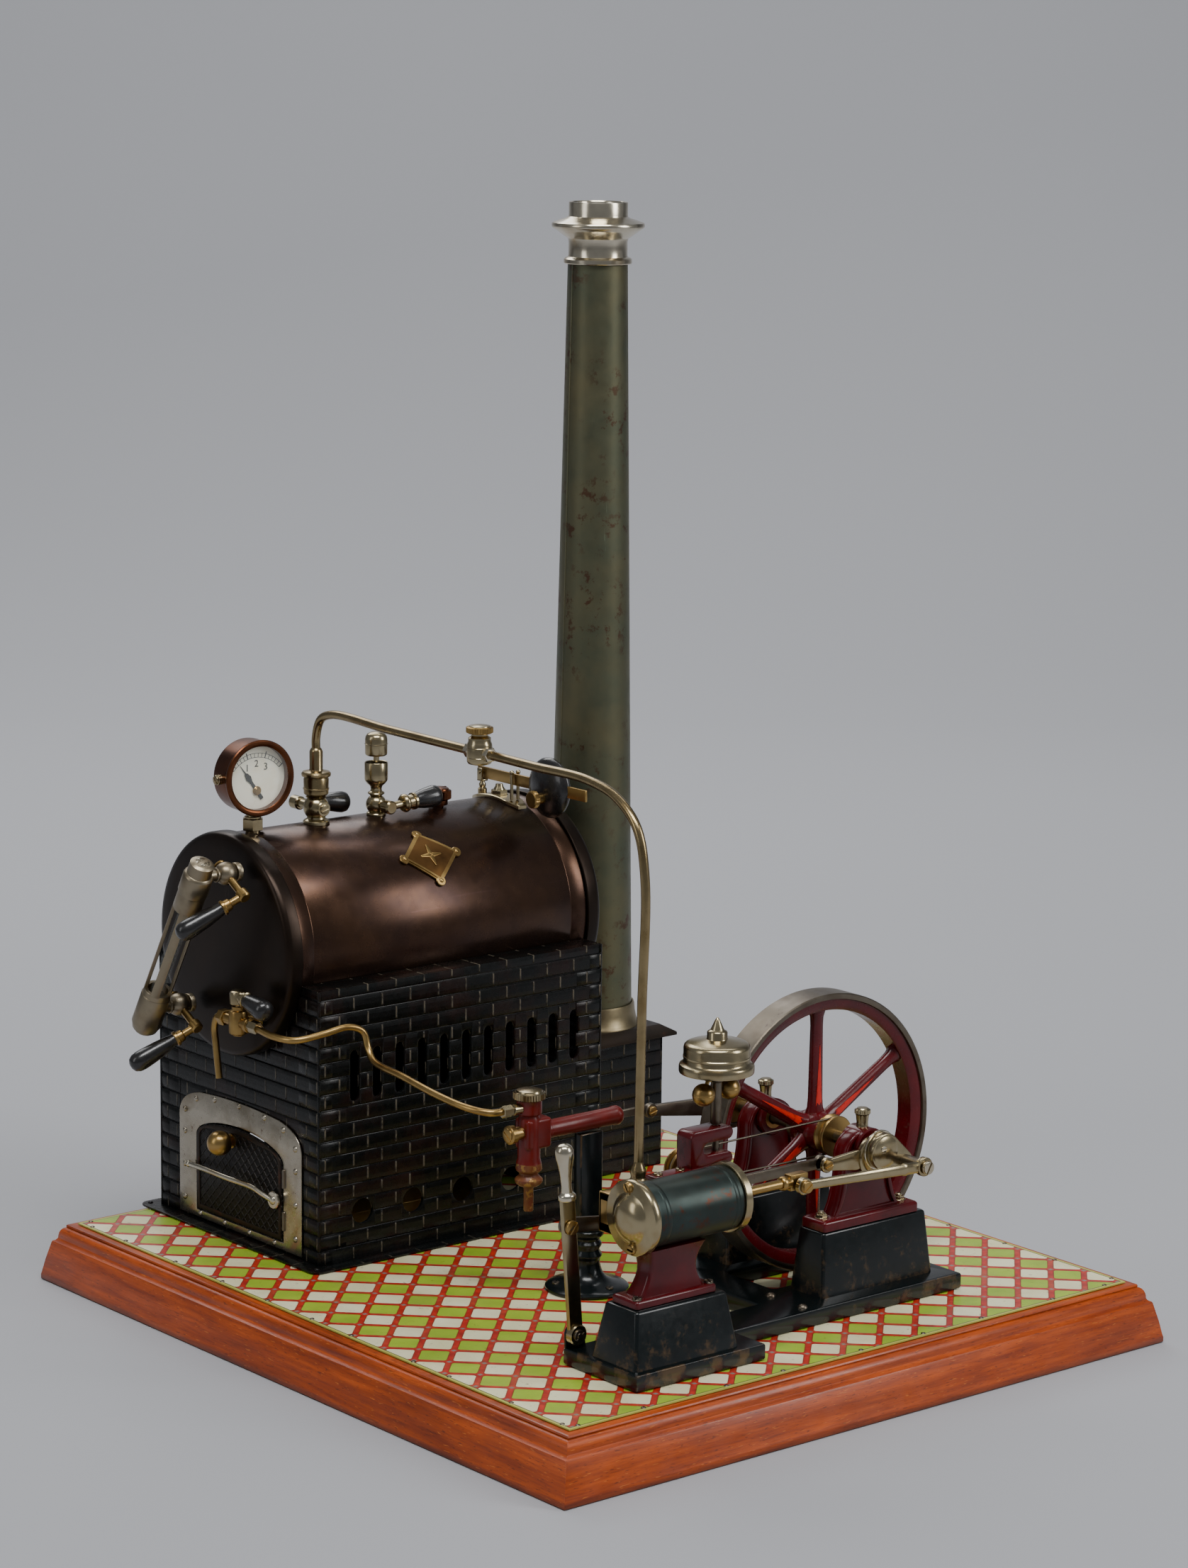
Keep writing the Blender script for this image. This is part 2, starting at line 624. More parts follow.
def blued(name, colour, dull, roughness=0.36, scratches=(1.0, 0.25, 1.0), rust=0.0):
    """Dark blued steel: soft clouds of colour, long fine scratches and small specks."""
    f = Finish(name, roughness, 0.85)
    clouds = f.band(f.noise(34, detail=5, rough=0.6), 0.3, 0.72)
    tone = f.mix(clouds, srgb(*colour), srgb(*dull))
    x, y, z = scratches
    lines = f.band(f.noise(60 * x, 60 * y, 60 * z, 8, rough=0.75, seed=3.0), 0.64, 0.66)
    tone = f.mix(f.sum("MULTIPLY", lines, 0.35), tone, srgb(*(min(c * 1.9, 255) for c in dull)))
    specks = f.band(f.noise(1.3, detail=6, rough=0.7, seed=6.0), 0.7, 0.76)
    tone = f.mix(f.sum("MULTIPLY", specks, 0.6), tone, srgb(124, 84, 56))
    if rust:
        spots = f.band(f.noise(7, detail=7, rough=0.7, seed=12.0), 0.54, 0.6)
        spots = f.sum("MULTIPLY", spots, f.band(f.noise(40, detail=3, seed=13.0), 0.44, 0.56))
        tone = f.mix(f.sum("MULTIPLY", spots, rust), tone, srgb(80, 50, 38))
    f.colour(tone)
    f.rough(f.noise(8, detail=6, seed=5.0), roughness * 0.7, roughness * 1.5)
    f.bump(f.noise(26, detail=2, seed=8.0), 0.1)
    f.bump(f.noise(0.6, detail=3, seed=9.0), 0.004)
    return f.material


def lattice_relief(name, colour, dull):
    """Blued sheet pressed with a diagonal lattice."""
    pitch = 5.2
    f = Finish(name, 0.42, 0.8)
    own = f.node("ShaderNodeSeparateXYZ", {0: f.place})
    y, z = own.outputs[1], own.outputs[2]
    u = f.sum("DIVIDE", f.sum("ADD", y, z), pitch * MM)
    v = f.sum("DIVIDE", f.sum("SUBTRACT", y, z), pitch * MM)
    lines = [f.band(f.sum("PINGPONG", w, 0.5), 0.16, 0.06) for w in (u, v)]
    ridge = f.sum("MAXIMUM", *lines)
    tone = f.mix(f.noise(9, detail=5), srgb(*colour), srgb(*dull))
    tone = f.mix(f.sum("MULTIPLY", ridge, 0.5), tone, srgb(*(min(c * 1.5, 255) for c in dull)))
    f.colour(tone)
    f.rough(f.noise(3, detail=5, seed=5.0), 0.3, 0.6)
    f.bump(ridge, 0.6, 1.0)
    return f.material


def ebonised(name="ebonised_wood"):
    f = Finish(name, 0.26, 0.0, 0.4)
    grain = f.noise(6, 1.2, 1.2, 5)
    tone = f.mix(f.band(grain, 0.4, 0.75), srgb(16, 16, 17), srgb(34, 31, 30))
    rub = f.band(f.noise(2.8, detail=8, rough=0.7, seed=3.0), 0.66, 0.74)
    f.colour(f.mix(f.sum("MULTIPLY", rub, 0.7), tone, srgb(84, 66, 50)))
    f.rough(f.noise(4, detail=5, seed=5.0), 0.16, 0.42)
    f.bump(f.noise(1.8, detail=4, seed=6.0), 0.08)
    return f.material


def clear_glass():
    f = Finish("clear_glass", 0.03)
    f.colour(srgb(244, 250, 248))
    f.shader.inputs["Alpha"].default_value = 0.05
    f.bump(f.noise(8, detail=2), 0.02)
    return f.material


def dial_paper():
    f = Finish("dial_card", 0.55)
    f.colour(f.mix(f.band(f.noise(7, detail=5), 0.45, 0.8), srgb(255, 252, 232),
                   srgb(246, 236, 204)))
    f.bump(f.noise(0.8, detail=4), 0.03)
    return f.material


NICKEL = metal("worn_nickel", (170, 157, 125), (140, 115, 74), 0.22, 0.4)
AGED = metal("aged_nickel", (148, 137, 116), (118, 102, 78), 0.36, 0.4)
PIPE = metal("pipe_nickel", (156, 138, 102), (120, 98, 60), 0.24, 0.5)
SURROUND = metal("plated_sheet", (176, 168, 152), (134, 120, 98), 0.27, 0.4, rust=(86, 60, 42))
BRIGHT = metal("bright_nickel", (204, 196, 176), (170, 144, 98), 0.2, 0.3)
DARK_BRASS = metal("dark_brass", (122, 88, 50), (84, 60, 36), 0.34, 0.6)
BRASS = metal("dull_brass", (172, 142, 88), (124, 92, 50), 0.3, 0.5)
COPPER = metal("brown_copper", (106, 64, 42), (72, 44, 32), 0.28, 0.6)
STEEL = metal("bare_steel", (116, 108, 96), (86, 72, 58), 0.36, 0.6, rust=(66, 44, 32))
TINNED = metal("tinned_collar", (140, 128, 100), (98, 82, 58), 0.36, 0.6)
CRIMSON = enamel("crimson_enamel", (86, 4, 11), (62, 4, 9), (38, 20, 18), roughness=0.18,
                 relief=0.4)
WHEEL_RED = enamel("wheel_enamel", (92, 5, 13), (64, 5, 11), (134, 118, 98), roughness=0.22,
                   chips=0.7, relief=0.5)
LINING = enamel("orange_lining", (222, 40, 18), (176, 26, 16), (96, 20, 16), chips=0.7)
PUMP_RED = enamel("pump_enamel", (108, 16, 7), (76, 12, 8), (150, 108, 52), roughness=0.3,
                  chips=1.0)
PUMP_WORN = enamel("pump_enamel_worn", (96, 24, 14), (120, 84, 40), (156, 118, 62), roughness=0.34,
                   chips=2.2)
DARK = enamel("dark_enamel", (9, 17, 18), (5, 9, 10), (96, 76, 54), roughness=0.2, chips=0.2,
              relief=0.5)
EBONY = ebonised()
GLASS = clear_glass()
DIAL = dial_paper()
BOILER = blued("boiler_blue", (84, 60, 44), (50, 37, 36), 0.24, (1.0, 0.03, 0.03))
CAPS = blued("cap_blue", (46, 35, 27), (32, 26, 23), 0.3)
JACKET = blued("jacket_blue", (58, 70, 68), (46, 48, 42), 0.34, (1.0, 0.1, 0.1), rust=1.0)
CHIMNEY = blued("chimney_blue", (108, 103, 78), (80, 88, 74), 0.4, (0.05, 0.05, 1.0), rust=0.8)
ROOF = blued("roof_blue", (56, 46, 38), (38, 33, 28), 0.4, rust=0.7)
DOOR = lattice_relief("door_lattice", (22, 21, 21), (34, 31, 29))
INK = ebonised("dial_ink")
WICK = enamel("cotton_wick", (214, 206, 186), (186, 172, 144), (92, 78, 60), roughness=0.9)

# ================================================================ base and floor

base = Box("wooden_base")
sheet = Box("tile_sheet")
STAND = Box("boiler_house").z0

TILES = tiled_tin(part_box("tile_sheet")[1])
WOOD = varnished_wood()


def make_base():
    """The board, its moulding given as (inset from the foot's edge, height)."""
    bends = [math.radians(d) for d in range(10, 91, 16)]
    cove = [(8.9 - 2.9 * math.cos(a), 25.6 - 4.6 * (1 - math.sin(a))) for a in bends]
    profile = [(0.5, 0), (0, 0.6), (0, 2.6), (0.25, 3.4), (1.6, 10), (3.7, 18.2), (4.0, 18.9),
               (5.2, 19.5), (5.9, 20.4), *cove, (8.7, 26.3), (9.0, 26.9), (9.6, base.z1)]
    levels = [(base.x0 + i, base.x1 - i, base.y0 + i, base.y1 - i, z) for i, z in profile]
    piece("moulded_base", "wooden_base", (WOOD, loft(levels, corner=0.4, steps=2)), sharp=28)


def make_floor():
    """The printed sheet keeps its CAD shape; its nails are added."""
    frame["nodes"]["tile_sheet"].data.materials.clear()
    frame["nodes"]["tile_sheet"].data.materials.append(TILES)
    nails = []
    from_corner, from_edge, stagger = 6, 1.9, 0.16
    for start, end, count, side in (
        (sheet.x0 + from_corner, sheet.x1 - from_corner, 9, "x"),
        (sheet.y0 + from_corner, sheet.y1 - from_corner, 11, "y"),
    ):
        for edge in (0, 1):
            for i in range(count):
                place = i + random.uniform(-stagger, stagger)
                along = start + (end - start) * place / (count - 1)
                along = min(max(along, start), end)
                if side == "x":
                    x, y = along, (sheet.y0 + from_edge, sheet.y1 - from_edge)[edge]
                else:
                    x, y = (sheet.x0 + from_edge, sheet.x1 - from_edge)[edge], along
                nails.append(rivet(1.15, 0.6).at(x, y, sheet.z1 - 0.05))
    piece("sheet_nails", [], (STEEL, *nails), body="frame")


# ================================================================ boiler house

house = Box("boiler_house")
boiler = Box("boiler_shell")
BOILER_Y, BOILER_Z, BOILER_R = boiler.y, boiler.z, (boiler.z1 - boiler.z0) / 2
HOUSE_X0, HOUSE_X1 = house.x0 + 2.2, house.x1
HOUSE_Y0, HOUSE_Y1 = house.y0 + 2.2, house.y1 - 2.2
SKIN = 1.6
COURSE, BRICK = 7.3, 16.0
SLOTS = [-95.2 + 12.8 * i for i in range(11)]
SLOT_FOOT, SLOT_HEAD, SLOT_R = 103.3, 127, 2.5
VENTS = [-90.7 + 28.9 * i for i in range(4)]
VENT_Z, VENT_R = 51, 5.8
BRICKS = brickwork(STAND)
plate_box = Box("fire_door_frame")
leaf_box = Box("fire_door")


def pill(x, z0, z1, r):
    return arc(x, z1 - r, r, 0, 180, 8) + arc(x, z0 + r, r, 180, 360, 8)


def quadratic(a, control, b, steps=10):
    a, control, b = Vector(a), Vector(control), Vector(b)
    ts = [i / steps for i in range(1, steps + 1)]
    return [tuple(a.lerp(control, t).lerp(control.lerp(b, t), t)) for t in ts]


def arched(y0, y1, z0, shoulder, crown, grow=0.0):
    """A door's outline with a low arched head, as (y, z)."""
    left, right, foot, middle = y0 - grow, y1 + grow, z0 - grow, (y0 + y1) / 2
    head = crown + grow - 1.2
    outline = [(left, foot), (right, foot), (right, shoulder)]
    outline += quadratic((right, shoulder), (right - 1.5, crown - 4), (right - 17, head))
    outline += quadratic((right - 17, head), (middle, crown + grow + 1.8), (left + 17, head))
    outline += quadratic((left + 17, head), (left + 1.5, crown - 4), (left, shoulder))
    return outline[:-1] + [(left, shoulder)]


# The doorway's near and far side along Y, its foot, its shoulder and its crown.
DOORWAY = (81, 151, 34, 71, 80.5)


def courses(side, face, start, end, top, gaps=None):
    """Courses and the short welds between bricks, raised on one wall, clear of its openings.

    `side` is +X, -X, +Y or -Y, `face` is where the wall lies, and it runs from `start` to `end`.
    `gaps` finds the openings between two heights, as spans along the wall.
    """
    raised, weld, margin, solids = 0.28, 0.3, 0.6, []
    out = 1 if side[0] == "+" else -1

    def lay(a, b, z0, z1, height, edge):
        low, high = sorted((face - 0.3 * out, face + height * out))
        spans = (a, b, low, high) if side[1] == "Y" else (low, high, a, b)
        solids.append(block(*spans, z0, z1, edge, 1))

    for row in range(int((top - STAND) / COURSE)):
        z0, z1 = STAND + row * COURSE + 0.3, STAND + (row + 1) * COURSE - 0.3
        a, runs = start + margin, []
        openings = sorted(gaps(z0, z1)) if gaps else []
        for low, high in [*openings, (end - margin, end)]:
            if low - a > 1.5:
                runs.append((a, low))
            a = max(a, high)
        first = math.floor(start / BRICK)
        joints = [(k - row / 2) * BRICK for k in range(first, first + 30)]
        for a, b in runs:
            lay(a, b, z0, z1, raised, 0.24)
            for joint in joints:
                if a + margin < joint < b - margin:
                    lay(joint - weld, joint + weld, z0 + 0.8, z1 - 0.8, raised + 0.14, 0.12)
    return solids


def make_house():
    slots = [pill(x, SLOT_FOOT, SLOT_HEAD, SLOT_R) for x in SLOTS]
    vents = [circle(x, VENT_Z, VENT_R, 28) for x in VENTS]
    side = rectangle(HOUSE_X0 + 0.1, HOUSE_X1 - 0.1, STAND, house.z1)
    walls = [
        plate_y(side, HOUSE_Y0, HOUSE_Y0 + SKIN, slots + vents, 0.3),
        plate_y(side, HOUSE_Y1 - SKIN, HOUSE_Y1, slots + vents, 0.3),
    ]
    r = BOILER_R + 0.3
    drop = math.degrees(math.asin((BOILER_Z - house.z1) / r))
    end = [(HOUSE_Y0, STAND), (HOUSE_Y1, STAND), (HOUSE_Y1, house.z1)]
    end += arc(BOILER_Y, BOILER_Z, r, -drop, -180 + drop, 40) + [(HOUSE_Y0, house.z1)]
    flue = rectangle(BOILER_Y - 14, BOILER_Y + 14, 50, 84)
    walls.append(plate_x(end, HOUSE_X0, HOUSE_X0 + SKIN, [arched(*DOORWAY)], 0.3))
    walls.append(plate_x(end, HOUSE_X1 - SKIN, HOUSE_X1, [flue], 0.3))
    half = r * math.cos(math.radians(drop))
    for y0, y1 in ((HOUSE_Y0 + 1, BOILER_Y - half), (BOILER_Y + half, HOUSE_Y1 - 1)):
        walls.append(block(HOUSE_X0 + 1, HOUSE_X1 - 1, y0, y1, house.z1 - SKIN, house.z1 - 0.05))
    spread = 6.0
    outer = rectangle(house.x0 - spread, HOUSE_X1 - 0.3, house.y0 - spread, house.y1 + spread, 5.0)
    inner = rectangle(HOUSE_X0 + 1, HOUSE_X1 - 1.3, HOUSE_Y0 + 1, HOUSE_Y1 - 1)
    skirt = [plate(outer, STAND, STAND + 1.0, [inner], 0.25)]
    for x in (HOUSE_X0 - 4, HOUSE_X1 - 8):
        for y in (HOUSE_Y0 - 4, HOUSE_Y1 + 4):
            skirt.append(rivet(1.3, 1.0).at(x, y, STAND + 0.95))
    folds = []
    for x in (HOUSE_X0 + 0.2, HOUSE_X1 - 0.4):
        for y in (HOUSE_Y0 + 0.2, HOUSE_Y1 - 0.2):
            folds.append(cylinder(0.8, STAND, house.z1 - 0.2, 0.1, 12).at(x, y))
    piece("brick_house", "boiler_house", (BRICKS, *walls, *skirt, *folds))


def make_brick_relief():
    """The courses pressed into the walls of the house and the chimney's base."""
    boiler_gap = BOILER_R + 1.8

    def long_wall(z0, z1):
        gaps = []
        if z1 > SLOT_FOOT - 0.7 and z0 < SLOT_HEAD + 0.4:
            half = SLOT_R + 0.5
            gaps += [(x - half, x + half) for x in SLOTS]
        clear, off = VENT_R + 0.6, abs(min(max(VENT_Z, z0), z1) - VENT_Z)
        if off < clear:
            half = math.sqrt(clear ** 2 - off ** 2) + 0.3
            gaps += [(x - half, x + half) for x in VENTS]
        return gaps

    def boiler_seat(z1):
        drop = BOILER_Z - z1
        if drop >= boiler_gap:
            return []
        half = math.sqrt(boiler_gap ** 2 - drop ** 2)
        return [(BOILER_Y - half, BOILER_Y + half)]

    def front_wall(z0, z1):
        door = [(plate_box.y0 - 0.6, plate_box.y1 + 0.6)] if z0 < plate_box.z1 + 0.3 else []
        return door + boiler_seat(z1)

    def rear_wall(z0, z1):
        joined = [(foot.y0 - 2, foot.y1 + 2)] if z0 < foot.z1 + 6 else []
        return joined + boiler_seat(z1)

    foot = Box("chimney_base")
    solids = []
    for wall in (
        ("-Y", HOUSE_Y0, HOUSE_X0, HOUSE_X1, house.z1, long_wall),
        ("+Y", HOUSE_Y1, HOUSE_X0, HOUSE_X1, house.z1, long_wall),
        ("-X", HOUSE_X0, HOUSE_Y0, HOUSE_Y1, house.z1, front_wall),
        ("+X", HOUSE_X1, HOUSE_Y0, HOUSE_Y1, house.z1, rear_wall),
        ("-Y", foot.y0, foot.x0, foot.x1, foot.z1),
        ("+Y", foot.y1, foot.x0, foot.x1, foot.z1),
        ("+X", foot.x1, foot.y0, foot.y1, foot.z1),
    ):
        solids += courses(*wall)
    piece("raised_bricks", [], (BRICKS, *solids), body="frame")


def make_quoins():
    """Raised bricks up the house's corners, long and short by turns."""
    quoins = []
    raised, long, short = 0.35, 15.2, 7.4
    for row in range(int((house.z1 - STAND) / COURSE)):
        z0 = STAND + row * COURSE + 0.5
        z1 = z0 + COURSE - 1.0
        lx, ly = (long, short) if row % 2 else (short, long)
        for x, sx in ((HOUSE_X0, 1), (HOUSE_X1, -1)):
            for y, sy in ((HOUSE_Y0, 1), (HOUSE_Y1, -1)):
                out_x = raised if sx > 0 else -0.05
                xs = sorted((x - sx * out_x, x + sx * lx))
                ys = sorted((y - sy * raised, y + sy * 0.4))
                quoins.append(block(*xs, *ys, z0, z1, 0.3))
                if sx > 0:
                    xs = (x - raised, x + 0.4)
                    ys = sorted((y - sy * raised, y + sy * ly))
                    quoins.append(block(*xs, *ys, z0, z1, 0.3))
    piece("corner_bricks", [], (BRICKS, *quoins), body="frame")


def make_door():
    x0, x1 = plate_box.x0, plate_box.x1
    rim = arched(67, 165, 30.6, 79, 92.3)
    surround = plate_x(rim, x0 + 0.35, x1, [arched(*DOORWAY)], 0.3)
    rivets = []
    for y in (71.5, 160.5):
        rivets += [(y, z) for z in (38, 54, 70)]
    rivets += [(y, 32.4) for y in (88, 108, 128, 148)]
    rivets += [(71.6, 80.5), (81, 87.4), (96, 90), (116, 91.2), (136, 90), (151, 87.4),
               (160.4, 80.5)]
    heads = facing([rivet(1.5, 0.9)], "-X", x=x0 + 0.4)
    studs = [h.at(0, y, z) for y, z in rivets for h in heads]
    hinge = [rod((x0 + 0.5, 80.6, z), (x0 + 0.5, 80.6, z + 9), 1.0) for z in (40, 60)]
    piece("door_surround", "fire_door_frame", (SURROUND, surround, *studs), (STEEL, *hinge))

    knob_y, knob_z, front = 121.5, 73.6, leaf_box.x0 + 12.8
    leaf = plate_x(arched(*DOORWAY, grow=-0.6), front, front + 0.95, edge=0.3)
    bead = plate_x(arched(*DOORWAY, grow=-1.2), front - 0.25, front + 0.2,
                   [arched(*DOORWAY, grow=-3.4)], 0.2)
    neck = [(0, 0), (3.4, 0), (3.4, 0.6), (1.7, 1.2), (1.6, 4), (2.6, 5), (2.6, 6), (0, 6)]
    stem = facing([lathe(neck, 28)], "-X", front, knob_y, knob_z)
    knob = ball(5.85, sides=40).along_x().at(leaf_box.x0 + 5.9, knob_y, knob_z)
    piece("door_leaf", "fire_door", (DOOR, leaf), (ROOF, bead), (BRASS, *stem, knob))


def make_latch():
    latch = Box("door_latch")
    x, y, z = latch.x1, 86.5, 53.5
    eye = facing([cylinder(4.2, 0, 1.6, 0.4)], "-X", x, y, z)
    head = facing([rivet(2.2, 1.0)], "-X", x - 1.55, y, z)
    points = [(x - 1.4, y + 1, z), (x - 2.6, y + 7, z + 1.8), (x - 3.4, y + 13, z + 3.4),
              (x - 4.6, y + 34, z + 3.8), (x - 3.9, y + 50, z + 3.6), (x - 2.4, 152.6, z + 2.6)]
    handle = sweep(points, 1.35, 20, 10, 0.8)
    tip = ball(1.62, sides=20).at(x - 2.4, 152.6, z + 2.6)
    piece("latch_bar", "door_latch", (BRIGHT, *eye, *head, handle, tip))


def make_burner():
    b = Box("spirit_burner")
    tank = casting(b.x0 + 0.3, b.x1 - 0.3, b.y0 + 0.3, b.y1 - 0.3, b.z0, 44, (0, 0), 2.5, 5)
    seam = casting(b.x0, b.x1, b.y0, b.y1, b.z0 + 6, b.z0 + 7.2, (0, 0), 0.5, 5)
    tubes, wicks = [], []
    for x in (-70, -37, -4):
        tube = [(5.6, 42), (6.4, 42), (6.4, 62.5), (6.0, 63), (5.6, 62.5)]
        tubes.append(lathe(tube, 32).at(x, b.y))
        strands = [cylinder(1.25, 44, 65.6, 0.6, 12).at(x + 3.6 * math.cos(a),
                                                        b.y + 3.6 * math.sin(a))
                   for a in (k * math.pi / 4 for k in range(8))]
        wicks += strands + [cylinder(2.4, 44, 65.9, 0.8, 16).at(x, b.y)]
    piece("burner_tank", "spirit_burner", (BRASS, tank, seam, *tubes), (WICK, *wicks))


# ================================================================ chimney

chimney = Box("chimney_tube")
CHIM_X, CHIM_Y = chimney.x, chimney.y


def make_chimney():
    a = Box("chimney_base")
    walls = [
        plate_y(rectangle(a.x0, a.x1, a.z0, a.z1), a.y0, a.y0 + SKIN),
        plate_y(rectangle(a.x0, a.x1, a.z0, a.z1), a.y1 - SKIN, a.y1),
        plate_x(rectangle(a.y0, a.y1, a.z0, a.z1), a.x1 - SKIN, a.x1),
    ]
    piece("chimney_bricks", "chimney_base", (BRICKS, *walls))

    roof = Box("chimney_roof")
    cx, cy = CHIM_X, CHIM_Y
    levels = [
        (roof.x0, roof.x1, roof.y0, roof.y1, roof.z0),
        (roof.x0, roof.x1, roof.y0, roof.y1, roof.z0 + 1.2),
        (roof.x0, roof.x1 - 0.5, roof.y0 + 0.5, roof.y1 - 0.5, roof.z0 + 1.7),
        (cx - 25, cx + 25, cy - 25, cy + 25, 99.5),
    ]
    foot = [(16.6, 99.2), (24.6, 99.2), (24.6, 99.9), (24.1, 100.7), (23.4, 102), (22.5, 106),
            (22.2, 109.4), (21.9, 110.5), (21.2, 110.5), (21.2, 100.4), (16.6, 100.4)]
    piece("chimney_roof_plate", "chimney_roof", (ROOF, loft(levels, 1.0)),
          (TINNED, lathe(foot, 72).at(cx, cy)))

    low, high = 20.95, 14.35
    outer = []
    for k in range(25):
        t = k / 24
        outer.append((low + (high - low) * t, chimney.z0 + (chimney.z1 - chimney.z0) * t))
    inner = [(r - 0.9, z) for r, z in reversed(outer)]
    line = [(cx - outer[k][0] * 0.985, cy + 1.5, outer[k][1]) for k in (0, 12, 24)]
    seam = sweep(line, 0.5, 8, 4)
    piece("chimney_pipe", "chimney_tube", (CHIMNEY, lathe(outer + inner, 96).at(cx, cy), seam))

    cap = [(13.2, 470.9), (16.0, 470.9), (16.3, 471.3), (16.3, 473.0), (15.6, 473.7), (14.3, 474.2),
           (14.1, 475), (14.1, 481.6), (14.5, 482.8), (16.6, 484.2), (19.6, 486.4), (21.9, 487.9),
           (22.2, 488.5), (22.2, 489.5), (21.8, 490.2), (18.6, 491.4), (15.2, 492.5), (14.2, 493.2),
           (14.1, 494), (14.1, 499.4), (13.9, 500), (12.9, 500), (12.5, 499.4), (12.5, 480),
           (13.2, 474)]
    piece("chimney_top", "chimney_cap", (BRIGHT, lathe(cap, 80).at(cx, cy)))


# ================================================================ boiler

CROWN = boiler.z1


def along_boiler(outline, x, way=1):
    solid = lathe(outline, 128).along_x()
    return (solid if way > 0 else solid.scaled(-1, 1, 1)).at(x, BOILER_Y, BOILER_Z)


def make_boiler():
    r, length = BOILER_R - 0.05, boiler.x1 - boiler.x0
    shell = [(r - 1.3, 0), (r, 0), (r, 7.0), (r - 0.28, 7.4), (r - 0.28, 8.1), (r, 8.5),
             (r, length - 9.5), (r - 0.28, length - 9.1), (r - 0.28, length - 8.4), (r, length - 8),
             (r, length)]
    shell.append((r - 1.3, length))
    piece("boiler_barrel", "boiler_shell", (BOILER, along_boiler(shell, boiler.x0)))
    for name, title, way in (("boiler_front_cap", "front_end", -1),
                             ("boiler_rear_cap", "rear_end", 1)):
        cap = Box(name)
        outer = (cap.z1 - cap.z0) / 2
        band = cap.x1 - cap.x0 - 1.3
        outline = [(outer - 1.3, 0), (outer - 0.3, 0), (outer, 0.4), (outer, band - 3.0),
                   (outer - 0.5, band - 1.3), (outer - 1.5, band - 0.35), (outer - 3.2, band),
                   (outer - 8, band + 0.35), (outer - 26, band + 0.9), (0, band + 1.25), (0, band),
                   (outer - 4, band - 1.2), (outer - 1.4, band - 3.2)]
        face = [(k * outer * 0.86, band + 0.62 - 0.4 * k) for k in (1, 0.985, 0.97)]
        x = cap.x1 if way < 0 else cap.x0
        ring = [(face[0][0], face[0][1] - 0.6), face[0], face[1], (face[2][0], face[2][1] - 0.6)]
        solids = [along_boiler(outline, x, way), along_boiler(ring, x, way)]
        piece(title, name, (CAPS, *solids))


def make_plaque():
    """A curved brass rhombus with a raised rim and a four-leaf ornament, soldered to the barrel."""
    middle, slope = -32, 45

    def on_barrel(solid):
        return solid.turned("X", slope).at(middle, BOILER_Y, BOILER_Z)

    def curved(k, r0, r1):
        verts, faces = [], []
        w, h, steps = 16 * k, 14 * k, 24
        for level in (r0, r1):
            for i in range(steps + 1):
                x = -w + 2 * w * i / steps
                reach = h * (1 - abs(x) / w)
                for j in range(9):
                    a = reach * (j / 4 - 1) / r0
                    verts.append((x, level * math.sin(a), level * math.cos(a)))
        row, layer = 9, 9 * (steps + 1)
        for i in range(steps):
            for j in range(8):
                a = i * row + j
                faces.append([a, a + 1, a + row + 1, a + row])
                faces.append([layer + a, layer + a + row, layer + a + row + 1, layer + a + 1])
            for j in (0, 8):
                a = i * row + j
                faces.append([a, a + row, layer + a + row, layer + a])
        return on_barrel(Solid(verts, faces))

    r = BOILER_R + 0.25
    layers = [curved(1.0, r, r + 0.85), curved(0.93, r + 0.5, r + 1.25)]
    field = curved(0.84, r + 0.9, r + 1.29)
    studs, ornament = [], []
    for along, round_by in ((-15, 0), (15, 0), (0, -13.2), (0, 13.2)):
        ear = lathe([(0, 0), (2.3, 0), (2.5, 0.3), (2.5, 0.9), (2.2, 1.15), (0, 1.2)], 28).at(z=r)
        head = rivet(1.1, 0.7).at(z=r + 1.15)
        for solid, group in ((ear, ornament), (head, studs)):
            bent = solid.turned("X", -math.degrees(round_by / r)).at(along)
            group.append(on_barrel(bent))
    leaf = teardrop((0, 1.4), 1.2, (0, 5.4), 0.5)
    for k in range(4):
        petal = plate(leaf, r + 1.0, r + 1.55, edge=0.2).turned("Z", 90 * k)
        ornament.append(on_barrel(petal))
    piece("blank_plaque", "maker_plaque", (BRASS, *layers, *ornament, *studs), (DARK_BRASS, field))


def saddle(r, rise=1.4):
    """A round flange whose underside follows the barrel."""
    verts, faces, sides = [], [], 64
    for i in range(sides):
        a = 2 * math.pi * i / sides
        x, y = r * math.cos(a), r * math.sin(a)
        low = math.sqrt(BOILER_R ** 2 - y * y) - BOILER_R + 0.15
        verts += [(x, y, low), (x, y, rise - 0.3), (x * 0.95, y * 0.95, rise)]
    for i in range(sides):
        a, b = i * 3, (i + 1) % sides * 3
        faces += [[a, b, b + 1, a + 1], [a + 1, b + 1, b + 2, a + 2]]
    faces.append([i * 3 + 2 for i in range(sides)])
    return Solid(verts, faces)


def grip(start, length, r):
    """A turned black handle along Z, and its bright ferrule."""
    swell = ((0, 0), (0.6, 0), (0.66, 0.05), (0.62, 0.1), (0.72, 0.2), (0.88, 0.42), (0.99, 0.7),
             (1, 0.79), (0.93, 0.89), (0.7, 0.96), (0.34, 0.993), (0, 1))
    shape = [(r * across, start + length * along) for across, along in swell]
    ferrule = [(0, start - 2.2), (r * 0.5, start - 2.2), (r * 0.6, start - 1.7),
               (r * 0.64, start + 0.6), (r * 0.78, start + 0.9), (r * 0.78, start + 2.0),
               (r * 0.66, start + 2.4), (0, start + 2.4)]
    return [lathe(shape, 32)], [lathe(ferrule, 32)]


def crown_at(node_x):
    return (node_x, BOILER_Y, CROWN)


